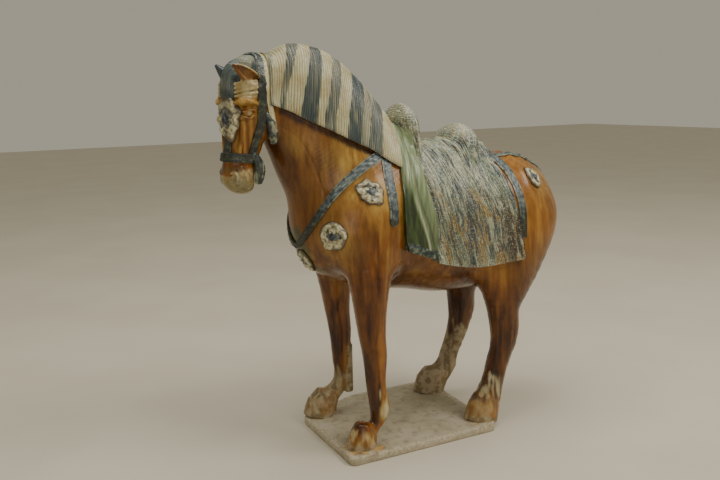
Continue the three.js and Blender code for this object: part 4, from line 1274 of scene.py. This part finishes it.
def build_flower(name, material, centre, head, reach, seed, size, count, grey=0.0, tall=1.0, steps=44):
    """A moulded flower or leaf, with its head turned one way. Size is its dark boss's share of it, and reach
    gives its outline's distance from the middle."""
    on, out = (a[0] for a in skin_at(horse, np.array([centre], float)))
    across = np.cross(np.array(head, float), out)
    across /= np.linalg.norm(across)
    upward = np.cross(out, across)
    line = np.linspace(-1, 1, steps)
    u, v = np.meshgrid(line, line, indexing="ij")
    r, angle = np.maximum(np.abs(u), np.abs(v)), np.arctan2(v, u)
    u, v = r * np.cos(angle), r * np.sin(angle)
    flat = on + across * (u * reach(angle))[..., None] + upward * (v * reach(angle))[..., None]
    q, n = skin_at(horse, flat, 4)
    h = petals(seed, r, angle, count)
    rise = tall * (2.4 + 4.2 * h) * (1 - 0.5 * ease(r, 0.88, 1.0))
    wob = 0.16 * noise(seed, u * 3 + 5, v * 3 + 5) + 0.1 * noise(seed + 3, u * 7 + 5, v * 7 + 5)
    crease = ease(0.52 - h, 0.0, 0.22) * ease(r, size, size + 0.15)
    patches = noise(seed + 4, u * 3, v * 3) + 0.5 * noise(seed + 5, u * 8, v * 8)
    # Brown is a painted shadow round the rim and painted shade in the creases between the petals; grey is
    # partly painted shade in those creases and partly patches of grey glaze.
    sheet_mesh(
        name, material, "cream_glaze", q + n * rise[..., None], q - n * 4, 2,
        blue=ease(size + 1.5 * wob - r, -0.04, 0.05) * (0.6 + 0.4 * ease(h, 0.2, 0.5)),
        brown=np.clip(0.7 * ease(r, 0.92, 1.0) + 0.75 * crease, 0, 1),
        grey=np.clip(0.3 * crease + grey * ease(patches, 0.4 - 0.5 * grey, 0.4), 0, 1),
    )


def ragged(seed, reach):
    def ragged_reach(angle):
        uneven = 0.07 * noise(seed, 2 * np.cos(angle) + 5, 2 * np.sin(angle) + 5)
        return reach(angle) * (1 + uneven + 0.05 * np.cos(5 * angle + seed))

    return ragged_reach


BREAST_STRAP = [
    [60, 71, 498], [95, 73, 479], [133, 68, 449], [161, 57, 412],
    [176, 38, 380], [184, 13, 356], [185, 0, 350],
]
HANGING_STRAP = [[50, 74, 490], [53, 84, 461], [54, 96, 435], [56, 104, 385]]
REAR_STRAP = [[-196, 10, 478], [-200, 45, 464], [-203, 80, 436], [-206, 100, 390], [-204, 108, 340]]
CROUP_STRAP = [[-190, 26, 476], [-235, 24, 470], [-285, 20, 450], [-322, 14, 416]]


# The straps of either side: their names, stops, widths, thicknesses and how they end.
STRAPS = [
    ("breast_strap_", BREAST_STRAP, 17, 3.5, {"dark_end": (0.45, 0.75), "ends": 0.55}),
    ("hanging_strap_", HANGING_STRAP, 16.5, 3.5, {"dark_end": (0.85, 0.95), "tip": True}),
    ("rear_strap_", REAR_STRAP, 14, 4, {"dark_end": (0.6, 0.9)}),
    ("croup_strap_", CROUP_STRAP, 9, 3.5, {}),
]


def build_harness(strap, pendant):
    for s, side in SIDES:
        for name, stops, width, thick, settings in STRAPS:
            build_strap(name + side, strap, sided(stops, s), width, thick, **settings)
        shoulder, leaf = [89, 88 * s, 439], ragged(71 + s, leaf_reach(38, 46))
        build_flower("shoulder_pendant_" + side, pendant, shoulder, [0.7, 0, 0.7], leaf, 70 + s, 0.52, 5)
        breast = [149, 75, 374] if s > 0 else [163, -62, 358]
        rosette = ragged(73 + s, lambda angle: 24.5)
        build_flower("breast_rosette_" + side, pendant, breast, [0, 0, 1], rosette, 73 + s, 0.46, 6, 0.3)
        rump = leaf_reach(30, 42)
        build_flower("rump_pendant_" + side, pendant, [-252, 75 * s, 439], [0.25, 0, 1], rump, 76 + s, 0.48, 3)
    chest = ragged(80, leaf_reach(30, 42))
    build_flower("chest_pendant", pendant, [172, 9, 326], [0, 0, -1], chest, 80, 0.35, 7, 0.8)


# The bound forelock, the pad behind it, the loop of the throat strap and the bit's cheekpiece.
FORELOCK = [
    [272, 0, 644, 10, 12], [286, 0, 634, 14, 16], [293, 1, 614, 15, 19],
    [293, 2, 596, 14, 18], [290, 2, 581, 9, 12],
]
POLL_PAD = [[264, 2, 648, 10, 19], [272, 4, 643, 12, 21], [278, 6, 633, 10, 20]]
THROAT_LOOP = [[254, 36, 566, 5, 4], [248, 37, 553, 8, 6], [243, 35, 539, 9, 7], [240, 33, 527, 6, 5]]
CHEEKPIECE = [[273, 25, 506, 6, 5], [266, 26, 494, 8, 6], [262, 24, 480, 9, 6], [262, 20, 466, 7, 5]]


def build_lump(name, rows, seed, material, pitch, depth, along, paint):
    """A small modelled lump on the turned head, with strands along it or lumps all over."""
    body = limb(rows, 6)
    box = np.array(rows, float)
    reach = box[:, 3:].max() + 6
    low, high = box[:, :3].min(0) - reach, box[:, :3].max(0) + reach
    corners = turn(list(itertools.product(*zip(low, high))))

    def field(x, y, z):
        x, y = unturn(x, y)
        if along:
            wave = np.cos(2 * np.pi * (y / pitch + 0.35 * noise(seed, x / 9, y / 9, z / 14)))
        else:
            wave = noise(seed, x / pitch, y / pitch, z / pitch)
            wave += 0.5 * noise(seed + 1, x * 2 / pitch, y * 2 / pitch, z * 2 / pitch)
        d = body(x, y, z)
        return d - depth * wave * (d < 8)

    v, f = surface_net(field, corners.min(0), corners.max(0), LUMP_CELL)
    v, n = settle(field, v, LUMP_CELL)
    x, y = unturn(v[:, 0], v[:, 1])
    wave = noise(seed + 2, x / 4, y / 4, v[:, 2] / 14)
    write_mesh(name, material, "blue_glaze", v, f, n, **paint(x, v[:, 2], wave))


def loop_paint(x, z, wave):
    return {"groove": ease(wave, 0.2, 0.6), "low": 0.7, "pale": ease(-wave, 0.25, 0.5)}


def forelock_paint(x, z, wave):
    # Painted highlight: less slate towards the front of the bun's upper part, so it shows paler there.
    worn = 0.5 * ease(x, 298, 306) * ease(z, 596, 612)
    return {
        "blue": 0.95, "tint": np.clip(0.6 + 0.3 * wave, 0, 1),
        "slate": np.clip(0.95 - worn + 0.2 * wave, 0, 1),
        "groove": 0.5 * ease(wave, 0.0, 0.6), "dark": 0.5 * ease(594 - z, 0, 8),
    }


def pad_paint(x, z, wave):
    tint = np.clip(0.35 + 0.25 * wave, 0, 1)
    return {"blue": 0.8, "tint": tint, "groove": 0.3 * ease(wave, 0.2, 0.6), "dark": 0.0}


CHEEK_STRAP = [[244, 0, 664], [250, 20, 656], [260, 36, 625], [263, 38, 590], [266, 36, 550], [276, 26, 505]]
NOSEBAND = [[312, -3, 505], [300, 18, 504], [282, 26, 502], [262, 18, 497], [254, -3, 496]]
MANE_STRAND = [[243, 14, 664], [248, 28, 642], [253, 36, 612], [250, 38, 585], [245, 37, 562], [238, 34, 540]]
NOSE_STRAP = [[306, 4, 540], [308, 4, 522], [311, 4, 506]]


def build_bridle(strap, pendant, mane):
    for s, side in SIDES:
        cheek, noseband, strand = (turn(sided(stops, s)) for stops in (CHEEK_STRAP, NOSEBAND, MANE_STRAND))
        build_strap("cheek_strap_" + side, strap, cheek, 17, 4, dark_end=(-0.4, 0.5), ends=0.75)
        build_strap("mane_strand_" + side, mane, strand, 8, 4.5, twill=False, ends=1.1, slot="cream_glaze")
        build_strap("noseband_" + side, strap, noseband, 14, 4.5, dark_end=(-0.6, 0.1))
        for name, rows, seed in (("throat_loop_", THROAT_LOOP, 110), ("cheekpiece_", CHEEKPIECE, 120)):
            build_lump(name + side, sided(rows, s), seed + s, strap, 6.0, 0.9, False, loop_paint)
    build_lump("forelock", FORELOCK, 130, mane, 3.4, 0.35, True, forelock_paint)
    build_lump("poll_pad", POLL_PAD, 140, mane, 4.0, 0.3, True, pad_paint)
    build_strap("nose_strap", strap, turn(NOSE_STRAP), 14, 3, dark_end=(-1, -0.5))
    face = ragged(91, leaf_reach(50, 62))
    build_flower("face_pendant", pendant, turn([306, 5, 562]), [0, 0, -1], face, 91, 0.42, 6, 0.5, 1.35, 60)


# The slab.

SLAB_CORNERS = [(150, 120), (-141, 121), (-159, -136), (14, -141), (141, -92)]
CORNER_ROUND = 12.0


# How far in or out the slab's edge is at each height, and where the glaze of each hoof has run on to it.
SLAB_EDGE = [(-1.6, 0.0), (-0.4, 1.2), (0.0, 4.0), (-0.1, 7.0), (0.0, 10.0), (-0.5, 12.6), (-1.9, 13.8)]
GLAZE_POOLS = [(114, L + 8, 35), (108, -L, 32), (-131, L + 3, 34), (-131, -L, 32)]


def slab_outline(step=3.0):
    """Points round the slab, with its corners rounded."""
    corners = np.array(SLAB_CORNERS, float)
    points = []
    for before, corner, after in zip(np.roll(corners, 1, 0), corners, np.roll(corners, -1, 0)):
        back, on = ((c - corner) / np.linalg.norm(c - corner) * CORNER_ROUND for c in (before, after))
        a, b, far = corner + back, corner + on, after - on
        points += [(1 - t) ** 2 * a + 2 * t * (1 - t) * corner + t * t * b for t in np.linspace(0, 1, 6)]
        steps = int(np.linalg.norm(far - b) / step)
        points += [b + (far - b) * t for t in np.linspace(0, 1, steps + 1)[1:-1]]
    return np.array(points)


def build_slab(material):
    line = slab_outline()
    centre = line.mean(0)
    out = line - centre
    out /= np.linalg.norm(out, axis=1, keepdims=True)
    x, y = line.T
    chips = 0.5 * noise(91, x / 14, y / 14) - 0.5
    rings = []
    for inset, z in SLAB_EDGE:
        wob = chips * (1 if 0 < z < 13.5 else 0.6) + 0.3 * noise(92, x / 6, y / 6, z / 4)
        rings.append((line + out * (inset + np.minimum(wob, 0))[:, None], z))
    under = [(centre + (rings[0][0] - centre) * k, 0.0) for k in (0.0, 0.33, 0.66)]
    rings += [(centre + (rings[-1][0] - centre) * k, SLAB_THICK) for k in np.linspace(1, 0, 56)[1:]]
    verts = np.concatenate([np.insert(ring, 2, z, axis=1) for ring, z in under + rings])
    ids = np.arange(len(verts)).reshape(-1, len(line))
    x, y, z = verts.T.copy()
    top = z > 13.9
    uneven = np.minimum(0.35 * noise(93, x / 24, y / 24) - 0.3, 0)
    pools = np.zeros(len(verts))
    for hoof_x, hoof_y, size in GLAZE_POOLS:
        r = np.hypot(x - hoof_x, y - hoof_y)
        pools = np.maximum(pools, ease(size + 6 * noise(95, x / 12, y / 12) - r, 0, 5))
    verts[:, 2] += uneven * top + 1.6 * pools * (z > 13)
    level = np.repeat(np.arange(len(ids)) - len(under), len(line))
    # The slab's sides are worn to a pale crust.
    worn = np.select([level < 0, level < 3, level < 10], [0.0, 0.35, 1.0], 0.0)
    quads = quads_of(np.concatenate([ids, ids[:, :1]], 1))
    write_mesh("slab", material, "bare_clay", verts, quads, worn=worn, amber=0.8 * pools * (z > 12))


# Camera, light and floor.

LIGHT_AIM = (0, 0, 0.35)


# The photo's camera, in metres and degrees: where it stands, which way it looks seen from above, how far it
# looks down and how it is rolled. The focal length and the width are in the photo's pixels.
CAMERA_PLACE = (0.7283, 1.2411, 0.6)
CAMERA_AHEAD = (-0.4726, -0.8813, 0)
CAMERA_RIGHT = (-0.8813, 0.4726, 0)
CAMERA_PITCH, CAMERA_ROLL = 10.15, -1.236
FOCAL_LENGTH, PHOTO_WIDTH = 832.45, 720
SENSOR_WIDTH = 36


def set_camera():
    pitch, roll = math.radians(CAMERA_PITCH), math.radians(CAMERA_ROLL)
    forward = Vector(CAMERA_AHEAD) * math.cos(pitch) + Vector((0, 0, -math.sin(pitch)))
    right = Vector(CAMERA_RIGHT)
    up = right.cross(forward)
    image_right = right * math.cos(roll) + up * math.sin(roll)
    image_up = up * math.cos(roll) - right * math.sin(roll)
    turn_to = Matrix((image_right, image_up, -forward)).transposed().to_4x4()
    camera = bpy.data.cameras.new("camera")
    camera.sensor_width = SENSOR_WIDTH
    camera.lens = FOCAL_LENGTH / PHOTO_WIDTH * SENSOR_WIDTH
    o = bpy.data.objects.new("camera", camera)
    o.matrix_world = Matrix.Translation(Vector(CAMERA_PLACE)) @ turn_to
    bpy.context.scene.collection.objects.link(o)
    bpy.context.scene.camera = o


def area_light(name, place, size, power, colour):
    light = bpy.data.lights.new(name, "AREA")
    light.shape = "RECTANGLE"
    light.size, light.size_y = size
    light.energy = power
    light.color = colour
    o = bpy.data.objects.new(name, light)
    o.location = place
    o.rotation_euler = (Vector(LIGHT_AIM) - Vector(place)).to_track_quat("-Z", "Y").to_euler()
    bpy.context.scene.collection.objects.link(o)


def set_light():
    world = bpy.data.worlds.new("world")
    bpy.context.scene.world = world
    world.use_nodes = True
    back = world.node_tree.nodes["Background"]
    back.inputs[0].default_value = (0.66, 0.62, 0.49, 1)
    back.inputs[1].default_value = 0.56
    area_light("key", (-1.3, 1.5, 2.6), (1.4, 1.1), 44, (1.0, 0.96, 0.88))
    area_light("fill", (1.2, 2.6, 1.0), (1.6, 1.2), 7, (1.0, 0.97, 0.93))
    area_light("top", (0.3, 0.0, 2.8), (1.6, 1.6), 30, (1.0, 0.97, 0.9))


def set_floor():
    me = bpy.data.meshes.new("floor")
    me.from_pydata([(-9, -9, 0), (9, -9, 0), (9, 9, 0), (-9, 9, 0)], [], [(0, 1, 2, 3)])
    o = bpy.data.objects.new("floor", me)
    m = Paint("floor_paint", rough=0.7, coat=0.0)
    pale = m.ramp(m.noise(m.position, 3, 2), (0.4, (206, 198, 182)), (0.6, (210, 203, 187)))
    o.data.materials.append(m.finish(pale))
    bpy.context.scene.collection.objects.link(o)


def main():
    set_camera()
    set_light()
    set_floor()
    mane, speckled, green = mane_glaze(), cloth_glaze(), green_glaze()
    strap, pendant = strap_glaze(), pendant_glaze()
    build_horse(amber_glaze())
    build_mane(mane)
    build_cloth(speckled)
    build_cap("saddle_pommel", POMMEL, 57, speckled, 46)
    build_cap("saddle_cantle", CANTLE, 158, speckled, 56)
    for s, side in SIDES:
        build_drape("drape_" + side, s, green)
    build_harness(strap, pendant)
    build_bridle(strap, pendant, mane)
    build_slab(bare_clay())


main()
bpy.context.view_layer.update()
